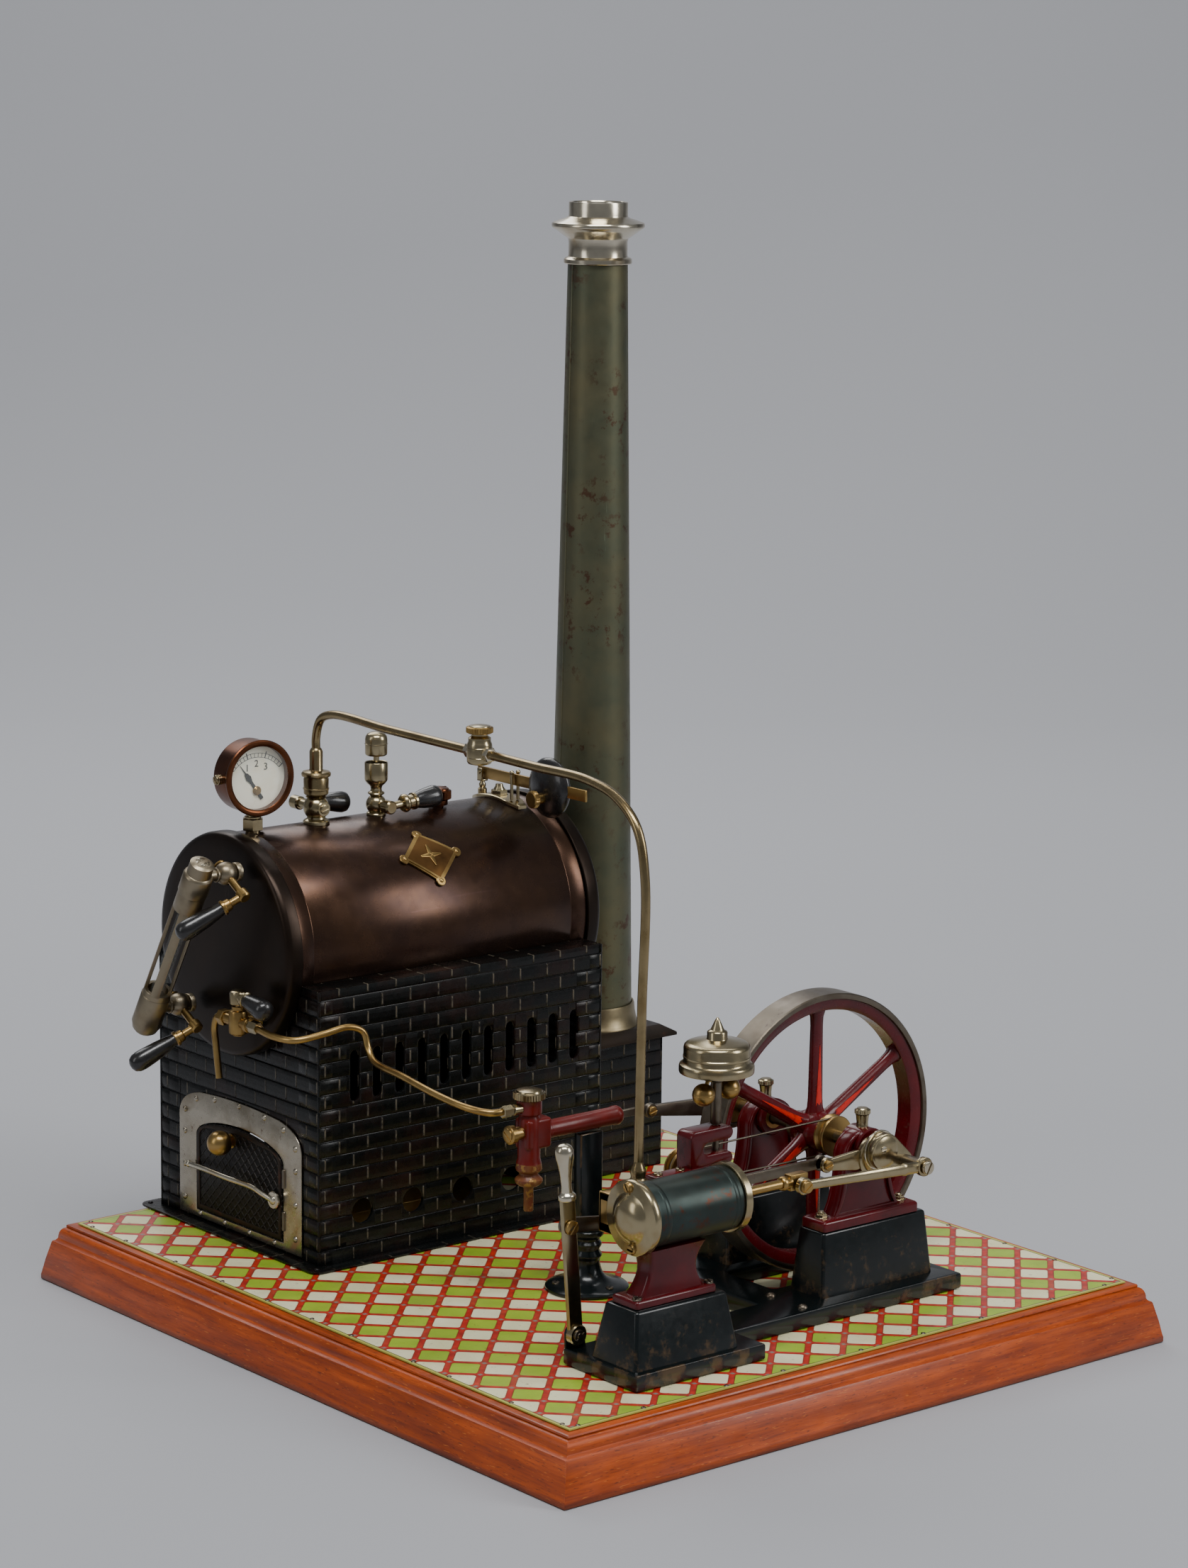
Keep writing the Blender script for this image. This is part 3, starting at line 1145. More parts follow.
def make_stop_valve():
    x = Box("stop_valve_body").x
    neck = [(0, 1.2), (5.6, 1.2), (5.7, 1.6), (4.5, 2.3), (4.2, 3.2), (0, 3.4)]
    top = [(0, 12.2), (4.7, 12.2), (4.9, 12.6), (4.2, 13.2), (0, 13.2)]
    body = moved([saddle(6.2), lathe(neck, 40), lathe(top, 40), ball(6.05, sides=48).at(z=7.4)],
                 *crown_at(x))
    seat = facing([cylinder(3.6, 5.2, 6.4, 0.4)], "-Y", x, BOILER_Y, CROWN + 7.4)
    piece("stop_valve", "stop_valve_body", (NICKEL, *body, *seat))

    wood, ferrule = grip(12, 17, 5)
    plug = [cylinder(2.0, -6.6, 16, 0.4).along_y(), cylinder(3.2, 12, 18, 0.6).along_y()]
    plug += facing(screw(2.2, 0.9, 20), "-Y", y=-6.2)
    arm = rod((0, 15, 0), (12, 15, 0), 1.8)
    turn = [s.along_x().at(y=15) for s in wood]
    bright = [*plug, arm, *(s.along_x().at(y=15) for s in ferrule)]

    def place(solids):
        return [s.turned("Y", 6).at(x, BOILER_Y, CROWN + 7.4) for s in solids]

    piece("stop_handle", "stop_valve_handle", (EBONY, *place(turn)), (NICKEL, *place(bright)))


PIPE_R = 2.1
lube = Box("lubricator")
PIPE_Z = lube.z0 + 5.2


def pipe_x(y):
    """Where the steam pipe's run across the machine lies, at a distance from its side."""
    return -70.8 - (118.3 - y) / 246.3 * 9.4


def make_steam_pipes():
    x, z = Box("stop_valve_body").x, CROWN + 13.5
    union = [(0, z), (5.2, z), (5.8, z + 0.6), (5.9, z + 7.4), (5.5, z + 8.3), (6.7, z + 8.7),
             (6.9, z + 9.2), (6.9, z + 10.0), (6.2, z + 10.8), (3.4, z + 11.4), (3.1, z + 12),
             (3.1, z + 20.2), (2.6, z + 21.4), (2, z + 22)]
    grooves = lathe([(5.8, z + 2.2), (6.1, z + 2.5), (6.1, z + 3.1), (5.8, z + 3.4)], 48)
    run = [(x, BOILER_Y, z + 20), (x, BOILER_Y, PIPE_Z - 12), (x, BOILER_Y - 3.4, PIPE_Z - 3.6),
           (x, BOILER_Y - 12, PIPE_Z), (pipe_x(60), 60, PIPE_Z), (lube.x, lube.y + 5.9, PIPE_Z)]
    end = facing([hexagon(3.4, 0, 3.2)], "+Y", lube.x, lube.y + 5.2, PIPE_Z)
    union_solid = lathe(union + [(0, z + 22)], 48).at(x, BOILER_Y)
    piece("boiler_steam_pipe", "steam_pipe_boiler", (PIPE, union_solid, grooves.at(x, BOILER_Y),
                                                     sweep(run, PIPE_R - 0.05, 24, 12)),
          (BRIGHT, *end))

    y, top = -128, Box("steam_chest").z1 + 0.3
    run = [(lube.x, lube.y - 5.9, PIPE_Z), (pipe_x(-50), -50, PIPE_Z), (pipe_x(-88), -88, PIPE_Z),
           (pipe_x(-108), -108, PIPE_Z - 4.4), (pipe_x(-122), -122, PIPE_Z - 15),
           (pipe_x(y), y, PIPE_Z - 36), (pipe_x(y) - 0.8, y, 180), (pipe_x(y) - 1.6, y, 109)]
    union = [(0, top), (4.4, top), (4.6, top + 0.3), (4.5, top + 2.2), (3.3, 106.6), (3.1, 107.4),
             (3.5, 109.2), (3.3, 110.6), (2.3, 112.6), (2, 114), (0, 114)]
    nut = hexagon(4.6, top + 0.1, top + 2.6).at(pipe_x(y) - 1.6, y)
    end = facing([hexagon(3.4, 0, 3.2)], "-Y", lube.x, lube.y - 5.2, PIPE_Z)
    piece("engine_steam_pipe", "steam_pipe_engine", (PIPE, sweep(run, PIPE_R - 0.05, 24, 12),
                                                     lathe(union, 40).at(pipe_x(y) - 1.6, y), nut),
          (BRIGHT, *end))


def make_lubricator():
    cup = [(0, -5.2), (3.8, -5.2), (4.9, -4.9), (5.5, -4.1), (5.6, -3.4), (5.6, 3.4), (5.3, 4.4),
           (5, 5), (5, 6.6), (3.9, 7.3), (3.6, 7.7), (3.6, 8.5), (0, 8.5)]
    rings = [lathe([(5.5, h), (5.75, h + 0.3), (5.5, h + 0.6)], 48) for h in (-2.4, 2.0)]
    cap = knurled(6.0, 8.6, 11.6, 30, 0.4)
    dome = lathe([(0, 11.2), (4.9, 11.2), (4.6, 11.9), (2.6, 12.3), (0, 12.4)], 40)
    place = (lube.x, lube.y, PIPE_Z)
    piece("oil_lubricator", "lubricator", (NICKEL, *moved([lathe(cup, 48), *rings, dome], *place)),
          (BRASS, *moved([cap], *place)))


def make_whistle():
    x, low = Box("whistle_body").x, CROWN
    cup = [(0, 9), (2.4, 9), (3.8, 9.9), (4, 10.3), (3.7, 10.8), (2.8, 11.3), (2.6, 12.4),
           (3.0, 13.8), (4.4, 15), (5.4, 16.4), (5.5, 17.2), (5.5, 24.7), (5.3, 25), (4.9, 24.8),
           (4.8, 17.6), (1.4, 17), (1.4, 28.2), (4.6, 28.2), (5.1, 28.6), (5.3, 29.2), (5.3, 35.8),
           (5.0, 37.2), (4.2, 38.4), (2.4, 39.2), (0, 39.4)]
    base = [(0, 0.9), (4.2, 0.9), (4.4, 1.2), (3.1, 1.9), (2.6, 2.6), (0, 2.6)]
    bands = [lathe([(5.25, h), (5.55, h + 0.3), (5.25, h + 0.6)], 40) for h in (19.2, 33.4)]
    solids = [saddle(4.6, rise=1.0), lathe(base, 40), ball(4.85, sides=40).at(z=5), lathe(cup, 44),
              *bands]
    piece("bell_whistle", "whistle_body", (NICKEL, *moved(solids, x, BOILER_Y, low)))

    wood, ferrule = grip(13, 17, 5.2)
    y = -9.6
    collar = lathe([(0, 8), (3.5, 8), (4.3, 8.9), (4.4, 9.7), (4.1, 10.5), (3.0, 11.4), (0, 11.4)],
                   36)
    bright = [cylinder(1.8, -11, 5.4, 0.3).along_y(), cylinder(3.2, -12.5, -7, 0.7).along_y(),
              rod((0, y, 0), (12, y, 0), 1.9), collar.along_x().at(y=y)]
    bright += [s.along_x().at(y=y) for s in ferrule]

    def place(solids):
        return [s.turned("Y", -5).at(x, BOILER_Y, low + 5) for s in solids]

    piece("whistle_handle", "whistle_lever", (EBONY, *place([s.along_x().at(y=y) for s in wood])),
          (NICKEL, *place(bright)))


def make_filler():
    x = Box("filler_plug").x
    shank = [(0, -5), (2.5, -5), (2.5, 0.6), (4.3, 0.6), (4.4, 1.0), (4.4, 2.8), (4.9, 3.3),
             (0, 3.3)]
    head = knurled(6.1, 3.2, 7.8, 28, 0.5)
    crown = lathe([(0, 7.4), (5.2, 7.4), (4.9, 8.4), (4.2, 8.8), (0, 9)], 40)
    bar = block(-4.4, 4.4, -0.5, 0.5, 8.5, 9.0, 0.1)
    piece("filler_screw", "filler_plug", (COPPER, *moved([lathe(shank, 40), head, crown, bar],
                                                         *crown_at(x))))


def make_safety_valve():
    b = Box("safety_valve_base")
    x, post, arm, guide = b.x, 13, 10.4, -12
    rings, steps, reach = [], 40, 17.8
    for i in range(steps + 1):
        y = -reach + 2 * reach * i / steps
        half = 2.4 + 2.6 * min(1, (reach - abs(y)) / 6.6)
        low = math.sqrt(BOILER_R ** 2 - y * y) - BOILER_R + 0.2
        rings.append([(-half, y, low), (half, y, low), (half, y, low + 1.2),
                      (half - 0.4, y, low + 1.5), (0.4 - half, y, low + 1.5),
                      (-half, y, low + 1.2)])
    strap = skin(rings)
    boss = cylinder(4.6, 0.2, 1.8, 0.4)
    nut = hexagon(4.1, 1.4, 3.8)
    neck = lathe([(0, 3.6), (2.8, 3.6), (2.6, 4.4), (2, 5.2), (1.7, 6.6), (0, 6.6)], 32)
    stem = [(0, 0), (2.2, 0), (2.2, 2.2), (1.4, 3), (1.7, 3.7), (1.7, 4.6), (1.2, 5.4), (1.2, 6.6),
            (0, 6.6)]
    cheeks = [block(s, s + 0.9, post - 1.8, post + 1.8, 6.2, arm + 2, 0.3) for s in (-2, 1.1)]
    yoke = block(-2, 2, post - 1.8, post + 1.8, 6, 7, 0.3)
    pin = rod((-2.5, post, arm), (2.5, post, arm), 0.8)
    forks = [rod((s, guide, 0.6), (s, guide, 14.2), 0.8) for s in (-1.9, 1.9)]
    tips = [ball(1.15, sides=20).at(s, guide, 13.8) for s in (-1.9, 1.9)]
    solids = [strap, boss, nut, neck, lathe(stem, 28).at(y=post), *cheeks, yoke, pin, *forks, *tips]
    piece("safety_valve", "safety_valve_base", (NICKEL, *moved(solids, *crown_at(x))))

    bar = Box("safety_valve_lever")
    blade = block(bar.x0, bar.x1, bar.y0, bar.y1, bar.z0, bar.z1, 0.3)
    notches = [block(bar.x0 + 0.1, bar.x1 - 0.1, y, y + 0.5, bar.z1 - 0.4, bar.z1, 0.1)
               for y in (bar.y0 + 6 + 5 * k for k in range(8))]
    piece("weight_bar", "safety_valve_lever", (BRASS, blade, *notches))

    w = Box("safety_valve_weight")
    lens = mirrored([(0, -5), (3, -4.95), (6, -4.55), (9, -3.85), (11.5, -2.95), (13.2, -2.0),
                     (14.1, -1.1), (14.4, -0.4)])
    stub = facing([cylinder(2.6, 4, 8.4, 0.3), knurled(4.2, 8.4, 11.5, 22, 0.35)], "-X", z=-4.6)
    piece("sliding_weight", "safety_valve_weight",
          (EBONY, lathe(lens, 96).along_x().at(bar.x, w.y, w.z)),
          (BRASS, *moved(stub, bar.x, w.y, w.z)))


# ================================================================ gauges

DIAL_X, DIAL_Z, DIAL_R, DIAL_TURN = -106.4, 244.6, 17.7, -5


def make_pressure_gauge():
    r, half, down, hub_z = DIAL_R, 7.5, DIAL_Z - CROWN, -6.2
    case = [(0, half), (r - 4, half), (r - 2, half - 0.2), (r - 0.9, half - 1.2),
            (r - 0.8, half - 2.2), (r - 0.8, 2.2 - half), (r - 0.3, 1.9 - half), (r, 1.3 - half),
            (r, 0.6 - half), (r - 0.4, 0.15 - half), (r - 1.1, -half), (r - 2.2, 0.1 - half),
            (r - 3, 0.7 - half), (r - 3, 4.4 - half), (0, 4.4 - half)]
    drum = lathe(case, 96).along_y()
    card = lathe([(0, 0), (r - 3.02, 0), (r - 3.02, 0.25), (0, 0.25)],
                 64).along_y().at(y=4.15 - half)
    marks = []
    for k in range(16):
        a = math.radians(140 - 100 * k / 15)
        long = k % 5 == 0
        w = 0.24 if long else 0.12
        tick = block(15.4, 18.4 if long else 17.2, -w, w, -0.1, 0.05, 0.02, 1)
        marks.append(tick.turned("Z", math.degrees(a)).turned("X", 90).at(0, 4.1 - half, hub_z))
    scale = []
    for radius in (15.3, 17.2):
        band = arc(0, hub_z, radius, 40, 140, 40) + arc(0, hub_z, radius + 0.22, 140, 40, 40)
        scale.append(plate_y(band, 4.05 - half, 4.15 - half, edge=0.02))
    boss = cylinder(1.5, 0, 1.3, 0.3).turned("X", 90).at(0, 4.1 - half, hub_z)
    neck = [cylinder(2.9, -down + 6, 2.5 - r + 0.6, 0.2), hexagon(5.2, 1 - down, 6.6 - down),
            cylinder(3.4, -down - 0.4, 1 - down, 0.1), cylinder(3.9, 6.4 - down, 7.6 - down, 0.3)]
    side = facing([cylinder(2.4, r - 1.2, r + 1.2, 0.3), *moved(screw(2.2, 0.9, 50), z=r + 1.1)],
                  "-X")

    def place(solids):
        return [s.turned("Z", DIAL_TURN).at(DIAL_X, BOILER_Y, DIAL_Z) for s in solids]

    glass = lathe([(0, 0), (r - 3, 0), (r - 3, 0.5), (0, 0.6)], 64).along_y().at(y=0.75 - half)
    piece("gauge_case", "pressure_gauge_case", (COPPER, *place([drum])),
          (NICKEL, *place([*neck, *side])), (DIAL, *place([card])), (INK, *place([*marks, *scale])),
          (BRASS, *place([boss])))
    piece("gauge_window", [], (GLASS, *place([glass])), body="frame")
    turn = Matrix.Rotation(math.radians(DIAL_TURN), 4, "Z")
    number_place = Matrix.Translation((DIAL_X, BOILER_Y, DIAL_Z)) @ turn
    for number, angle in ((1, 125), (2, 90), (3, 55)):
        a = math.radians(angle)
        curve = bpy.data.curves.new(f"number_{number}", "FONT")
        curve.body = str(number)
        curve.size = 4.6 * MM
        curve.align_x = curve.align_y = "CENTER"
        curve.extrude = 0.05 * MM
        thing = bpy.data.objects.new(f"dial_number_{number}", curve)
        curve.materials.append(INK)
        spot = Matrix.Translation((8.4 * math.cos(a), 4.05 - half, 9.6 * math.sin(a) - 3.4))
        world = number_place @ spot @ Matrix.Rotation(math.radians(90), 4, "X")
        world.translation *= MM
        thing.matrix_world = world
        scene.collection.objects.link(thing)
        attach(thing, "frame")

    hand = plate([(-0.9, -4.8), (0.9, -4.8), (0.7, 5), (1.5, 7.4), (0.9, 9.6), (0.3, 10.4),
                  (0, 14.9), (-0.3, 10.4), (-0.9, 9.6), (-1.5, 7.4), (-0.7, 5)], -0.22, 0.22,
                 edge=0.08)
    pin = cylinder(2.1, -0.5, 0.9, 0.4)
    solids = [s.turned("X", 90).turned("Y", -35).turned("Z", DIAL_TURN) for s in (hand, pin)]
    at = Vector((DIAL_X, BOILER_Y, DIAL_Z)) + turn @ Vector((0, -3.6, hub_z))
    piece("gauge_hand", "pressure_gauge_needle", (INK, solids[0].at(*at)),
          (BRASS, solids[1].at(*at)))


# The water gauge's middle, and how far it leans in degrees.
SIGHT = (-150, 118.3, 172)
LEAN = 29.4


def leaned(solids, x=0.0, y=0.0, z=0.0):
    """From the water gauge's own upright place to its leaning one."""
    return [s.at(x, y, z).turned("X", LEAN).at(*SIGHT) for s in solids]


def make_water_gauge():
    half, reach, elbow = 39, 22.7, 15.2
    guard = []
    for k in range(4):
        side = 27 + 90 * k
        bow = arc(0, 0, 6.5, side, side + 36, 8) + arc(0, 0, 5.0, side + 36, side, 8)
        guard.append(plate(bow, 11 - half, half - 17, edge=0.3))
    for z0, z1 in ((-half - 2, 12 - half), (half - 18, half + 2)):
        guard.append(lathe([(4.8, z0), (6.3, z0), (6.5, z0 + 0.3), (6.5, z1 - 0.3), (6.3, z1),
                            (4.8, z1)], 48))
    top = [(0, half + 9), (3.6, half + 9), (4.5, half + 8.7), (5.6, half + 7.9), (5.7, half + 2.4),
           (6.7, half + 1.6), (6.9, half + 1.0), (6.9, half - 7.8), (6.5, half - 8.6),
           (4.8, half - 8.6), (4.8, half - 3), (0, half - 3)]
    low = [(0, 5 - half), (4.8, 5 - half), (4.8, 9 - half), (6.6, 9 - half), (6.9, 8.5 - half),
           (6.9, -half - 8), (6.4, -half - 9.3), (5.9, -half - 11), (4.6, -half - 12.4),
           (0, -half - 12.9)]
    nuts = [hexagon(6.9, half - 8.4, half - 3.4), hexagon(6.9, 3.4 - half, 8.4 - half)]
    arms = []
    for z in (half, -half):
        arm = [rod((4, 0, z), (reach, 0, z), 2.6), ball(5.35, sides=40).at(elbow, 0, z)]
        arm.append(lathe([(0, 0), (4.2, 0), (4.4, 0.3), (4.4, 2.4), (3.4, 3), (0, 3)],
                         36).along_x().at(reach - 3, 0, z))
        arm.append(cylinder(3.4, 0, 1.2, 0.3).along_x().at(9.2, 0, z))
        arms += arm
    screw_top = [s.at(z=half + 8.6) for s in screw(3.4, 0.4, 20)]
    body = [*guard, lathe(top, 56), lathe(low, 56), *nuts, *arms]
    piece("sight_frame", "water_gauge_frame", (AGED, *leaned(body)), (BRIGHT, *leaned(screw_top)))

    bore = [(2.2, 5.5 - half), (3.35, 5.5 - half), (3.35, half - 3.5), (2.2, half - 3.5)]
    piece("sight_glass", "water_gauge_glass", (GLASS, *leaned([lathe(bore, 40)])))

    for node, z in (("water_gauge_upper_cock", half), ("water_gauge_lower_cock", -half)):
        stem = -16.5
        wood, ferrule = grip(9, 26, 4.6)
        bright = [cylinder(1.8, stem, 5.8, 0.3).along_y(),
                  cylinder(2.9, stem - 1.4, stem + 3.4, 0.7).along_y()]
        bright.append(cylinder(3.1, 5.0, 6.0, 0.3).along_y())
        bright.append(rod((0, stem + 0.6, 0), (-8, stem + 0.6, -5.0), 1.8))
        bright += [s.turned("Y", -122).at(y=stem + 0.6) for s in ferrule]
        black = [s.turned("Y", -122).at(y=stem + 0.6) for s in wood]
        title = node.replace("water_gauge_", "sight_")
        piece(title, node, (EBONY, *leaned(black, elbow, 0, z)),
              (BRASS, *leaned(bright, elbow, 0, z)))


COCK = (-135.6, 88.4, 139.6)


def make_feed_cock():
    flange = 125.3 + COCK[0] + 20.6
    body = [lathe([(0, -5.6), (3.6, -5.6), (4.3, -5.0), (4.4, -4.2), (4.4, 4.4), (4.1, 5.2),
                   (3, 5.6), (3, 7.2), (0, 7.4)], 40)]
    body.append(rod((0, 0, 0), (flange, 0, 0), 2.8))
    body.append(lathe([(0, 0), (4.4, 0), (4.6, 0.3), (4.6, 2), (0, 2)],
                      36).along_x().at(flange - 2, 0, 0))
    body.append(rod((0, -9.4, 0), (0, 12.6, 0), 2.7))
    body.append(hexagon(3.9, 9.2, 13.4).along_y())
    body.append(cylinder(3.5, -9.2, -7, 0.4).along_y())
    drain = [(0, 12.6, 0), (0, 16.6, -0.8), (0, 19, -6), (0, 18, -14), (0, 15.4, -29.4)]
    body.append(sweep(drain, 1.6, 20, 12))
    body += [s.turned("X", 180).at(z=-5.4) for s in screw(2.6, 0.9, 15)]
    piece("feed_cock", "feed_cock_body", (BRASS, *moved(body, *COCK)))

    wood, ferrule = grip(4.4, 19, 4.9)
    cap = [(0, 8.2), (3.5, 8.2), (3.9, 8.6), (3.9, 13.2), (3.6, 14.1), (2.9, 14.6), (0, 14.8)]

    def hang(solids):
        return [s.turned("X", 99).at(*COCK).at(z=12) for s in solids]

    piece("feed_cock_grip", "feed_cock_handle", (EBONY, *hang(wood)),
          (NICKEL, *hang(ferrule), *moved([lathe(cap, 40), cylinder(1.6, -2.4, 9, 0.2)], *COCK)))


PUMP_X, PUMP_Y, PUMP_Z = -71, -41, 105.4


def make_feed_pipe():
    cx, cy, cz = COCK
    start = cy - 9.7
    run = [(cx, start - 3, cz), (cx + 0.4, 62, 138), (-131, 50.6, 137.8), (-118, 47, 139.6),
           (-106, 44.6, 141.4), (-99.6, 42.8, 138.6), (-98.2, 41, 131.6), (-99, 36, 126.8),
           (-100, 12, 124.2), (-99, -12, 120.6), (-96.5, -30, 118.4), (-91.5, -39, 117.4),
           (PUMP_X - 13, PUMP_Y, 117.2)]
    nuts = [hexagon(3.0, 0, 6).along_y().at(cx, start - 6, cz),
            hexagon(2.75, 0, 5.6).along_x().at(PUMP_X - 15.4, PUMP_Y, 117.2)]
    piece("copper_feed_pipe", "feed_pipe", (BRASS, sweep(run, 1.6, 20, 8)), (NICKEL, *nuts))


# ================================================================ feed pump


def make_pump():
    c, ring = -37.0, 14.4
    foot = [(0, STAND), (18.4, STAND), (18.9, STAND + 0.6), (18.8, STAND + 1.3),
            (17.8, STAND + 2.1), (15, STAND + 2.9), (11.4, STAND + 3.8), (8.6, STAND + 5.4),
            (6.9, 36), (6.2, 38), (5.6, 40.6), (5.8, 42.4), (6.6, 43.6), (6.6, 44.4), (5.5, 46),
            (5.5, 47), (6.4, 48.4), (6.4, 49.4), (5.4, 50.8), (5.6, 51.8), (7.2, 53.2), (7.4, 54),
            (7.4, 55.2), (7.1, 55.6), (0, 55.6)]
    top = Box("pump_post").z1
    post = block(c - 6.4, c + 6.4, PUMP_Y - 2.6, PUMP_Y + 2.6, 55, top, 0.8, 3)
    bolts = [s.at(c + ring * math.cos(a), PUMP_Y + ring * math.sin(a), STAND + 2.8)
             for a in (0.6, 2.7, 4.8) for s in screw(1.7, 0.9, 40)]
    piece("pump_pillar", "pump_post", (DARK, lathe(foot, 64).at(c, PUMP_Y), post), (STEEL, *bolts))

    chest = block(-4.5, 9.3, -4.9, 4.9, -6.9, 6.9, 1.6, 4)
    low = [(0, -35.3), (2.0, -35.3), (2.2, -34.8), (2.2, -25), (2.6, -24.2), (4.4, -23.6),
           (5.8, -22.5), (6.2, -21.6), (6.1, -20.6), (4.6, -19.2), (4.1, -18.5), (4.2, -17.8),
           (5.6, -16.8), (5.9, -16), (5.6, -13.4), (5, -11), (5.1, -6.5), (5.1, 6.5), (4.5, 7.6),
           (4.4, 8.2), (5.5, 9.2), (5.6, 9.8), (5.6, 15.2), (0, 15.2)]
    barrel = [(0, 8), (4.35, 8), (4.35, 10), (4.05, 10.4), (4.05, 47.5), (4.4, 48), (4.4, 50),
              (3.6, 51.4), (2.7, 51.5), (2.7, 12), (0, 12)]
    nipple = rod((-9.5, 0, 11.8), (0, 0, 11.8), 2.5)
    plug = facing([lathe([(0, 0), (3.0, 0), (3.0, 4.2), (4.1, 4.8), (4.2, 7.4), (3.6, 7.8),
                          (0, 7.8)], 36)], "-X", -4, 0, 0.8)
    slots = facing(screw(3.1, 0.7, 55), "-X", -11.7, 0, 0.8)
    cap = [knurled(7.2, 15.4, 18.9, 34, 0.5), lathe([(0, 18.6), (6.1, 18.6), (5.6, 19.6), (3, 20.1),
                                                     (0, 20.2)], 44)]
    place = (PUMP_X, PUMP_Y, PUMP_Z)
    # The enamel is worn through below the waist.
    waist = next(k for k, point in enumerate(low) if point[1] > -14)
    red = [chest, lathe([(0, low[waist][1]), *low[waist:]], 48), lathe(barrel, 48).along_x()]
    worn = [lathe([*low[:waist + 1], (0, low[waist][1])], 48)]
    piece("pump_casting", "pump_body", (PUMP_RED, *moved(red, *place)),
          (PUMP_WORN, *moved(worn, *place)), (NICKEL, *moved([*cap, nipple], *place)),
          (BRASS, *moved([*plug, *slots], *place)))

    b = Box("pump_plunger")
    section = arc(0, 0, 1.85, -126, 126, 24)
    flat_end = plate_x(section, -20, b.x1, edge=0.15)
    round_end = rod((b.x0, 0, 0), (-19.9, 0, 0), 1.85)
    piece("pump_ram", "pump_plunger", (STEEL, *moved([round_end, flat_end], 0, PUMP_Y, PUMP_Z)))


# ================================================================ engine bed and cylinder

bed = Box("engine_bed")
BED_TOP = 35.8
PLINTH_TOP = bed.z1
LEVER = (-109, -119.5, 41.5)


def make_bed():
    """The bed under cylinder and shaft: one outline plate, its plinths, and the lever's lug."""
    pit = rectangle(12, 82, -111, -79, 2.0)
    outline = [(bed.x0, -165.7), (-41.7, -165.7), (-41.7, -144.5), (95, -144.5), (95, -46),
               (-7.7, -46), (-7.7, -122.8), (-41.7, -122.8), (-41.7, -117.8), (bed.x0, -117.8)]
    slab = plate(outline, bed.z0, BED_TOP, [pit], 1.1)

    def plinth(y0, y1):
        return casting(18.5, 85.5, y0 - 3, y1 + 3, BED_TOP - 1, PLINTH_TOP, (2.5, 3), 1.2, 1.6)

    plinths = [casting(-111, -53.5, -162.5, -133, BED_TOP - 1, 60, (3.8, 4.4), 1.2, 1.6),
               plinth(-133, -117), plinth(-70, -53)]
    x, y, z = LEVER
    lug = plate_y(teardrop((x, z), 4, (x + 1.6, BED_TOP), 5.4), y + 0.5, y + 1.7, edge=0.25)
    pin = cylinder(1.3, y - 4.4, y + 1, 0.3).along_y().at(x, 0, z)
    bolts = []
    for bx, by in ((-60, -126), (-46, -138), (4, -139), (4, -118), (89, -128), (89, -60), (3, -60),
                   (-98, -126)):
        bolts.append(rivet(2.3, 1.7).at(bx, by, BED_TOP - 0.1))
    piece("cast_bed", "engine_bed", (DARK, slab, *plinths, lug), (STEEL, pin, *bolts))


CYL_Y, CYL_Z = Box("cylinder").y, 97.5
CYL_FRONT, CYL_REAR = -99, -51


def make_pedestal():
    z, steps = 60.3, 8
    foot = casting(-105.4, -61.2, -156, -139.6, z, z + 3.4, (0, 0), 1.4, 1.2)
    levels = []
    for k in range(steps + 1):
        t = k / steps
        waist = 3.4 * math.sin(math.pi * t)
        y0, y1 = -153.6 - t + waist * 0.4, -142.4 + t - waist * 0.4
        levels.append((-101 + 4 * t + waist, -66 - waist, y0, y1, z + 3 + t * 20))
    web = loft(levels, 1.6)
    bolts = moved(screw(2.0, 1.4, 30), -103, -153.4, z + 3.2)
    bolts += moved(screw(2.0, 1.4, 70), -63.6, -153.4, z + 3.2)
    piece("cylinder_stand", "cylinder_pedestal", (CRIMSON, foot, web), (STEEL, *bolts))


def along_cylinder(outline, sides=72):
    return lathe(outline, sides).along_x().at(0, CYL_Y, CYL_Z)


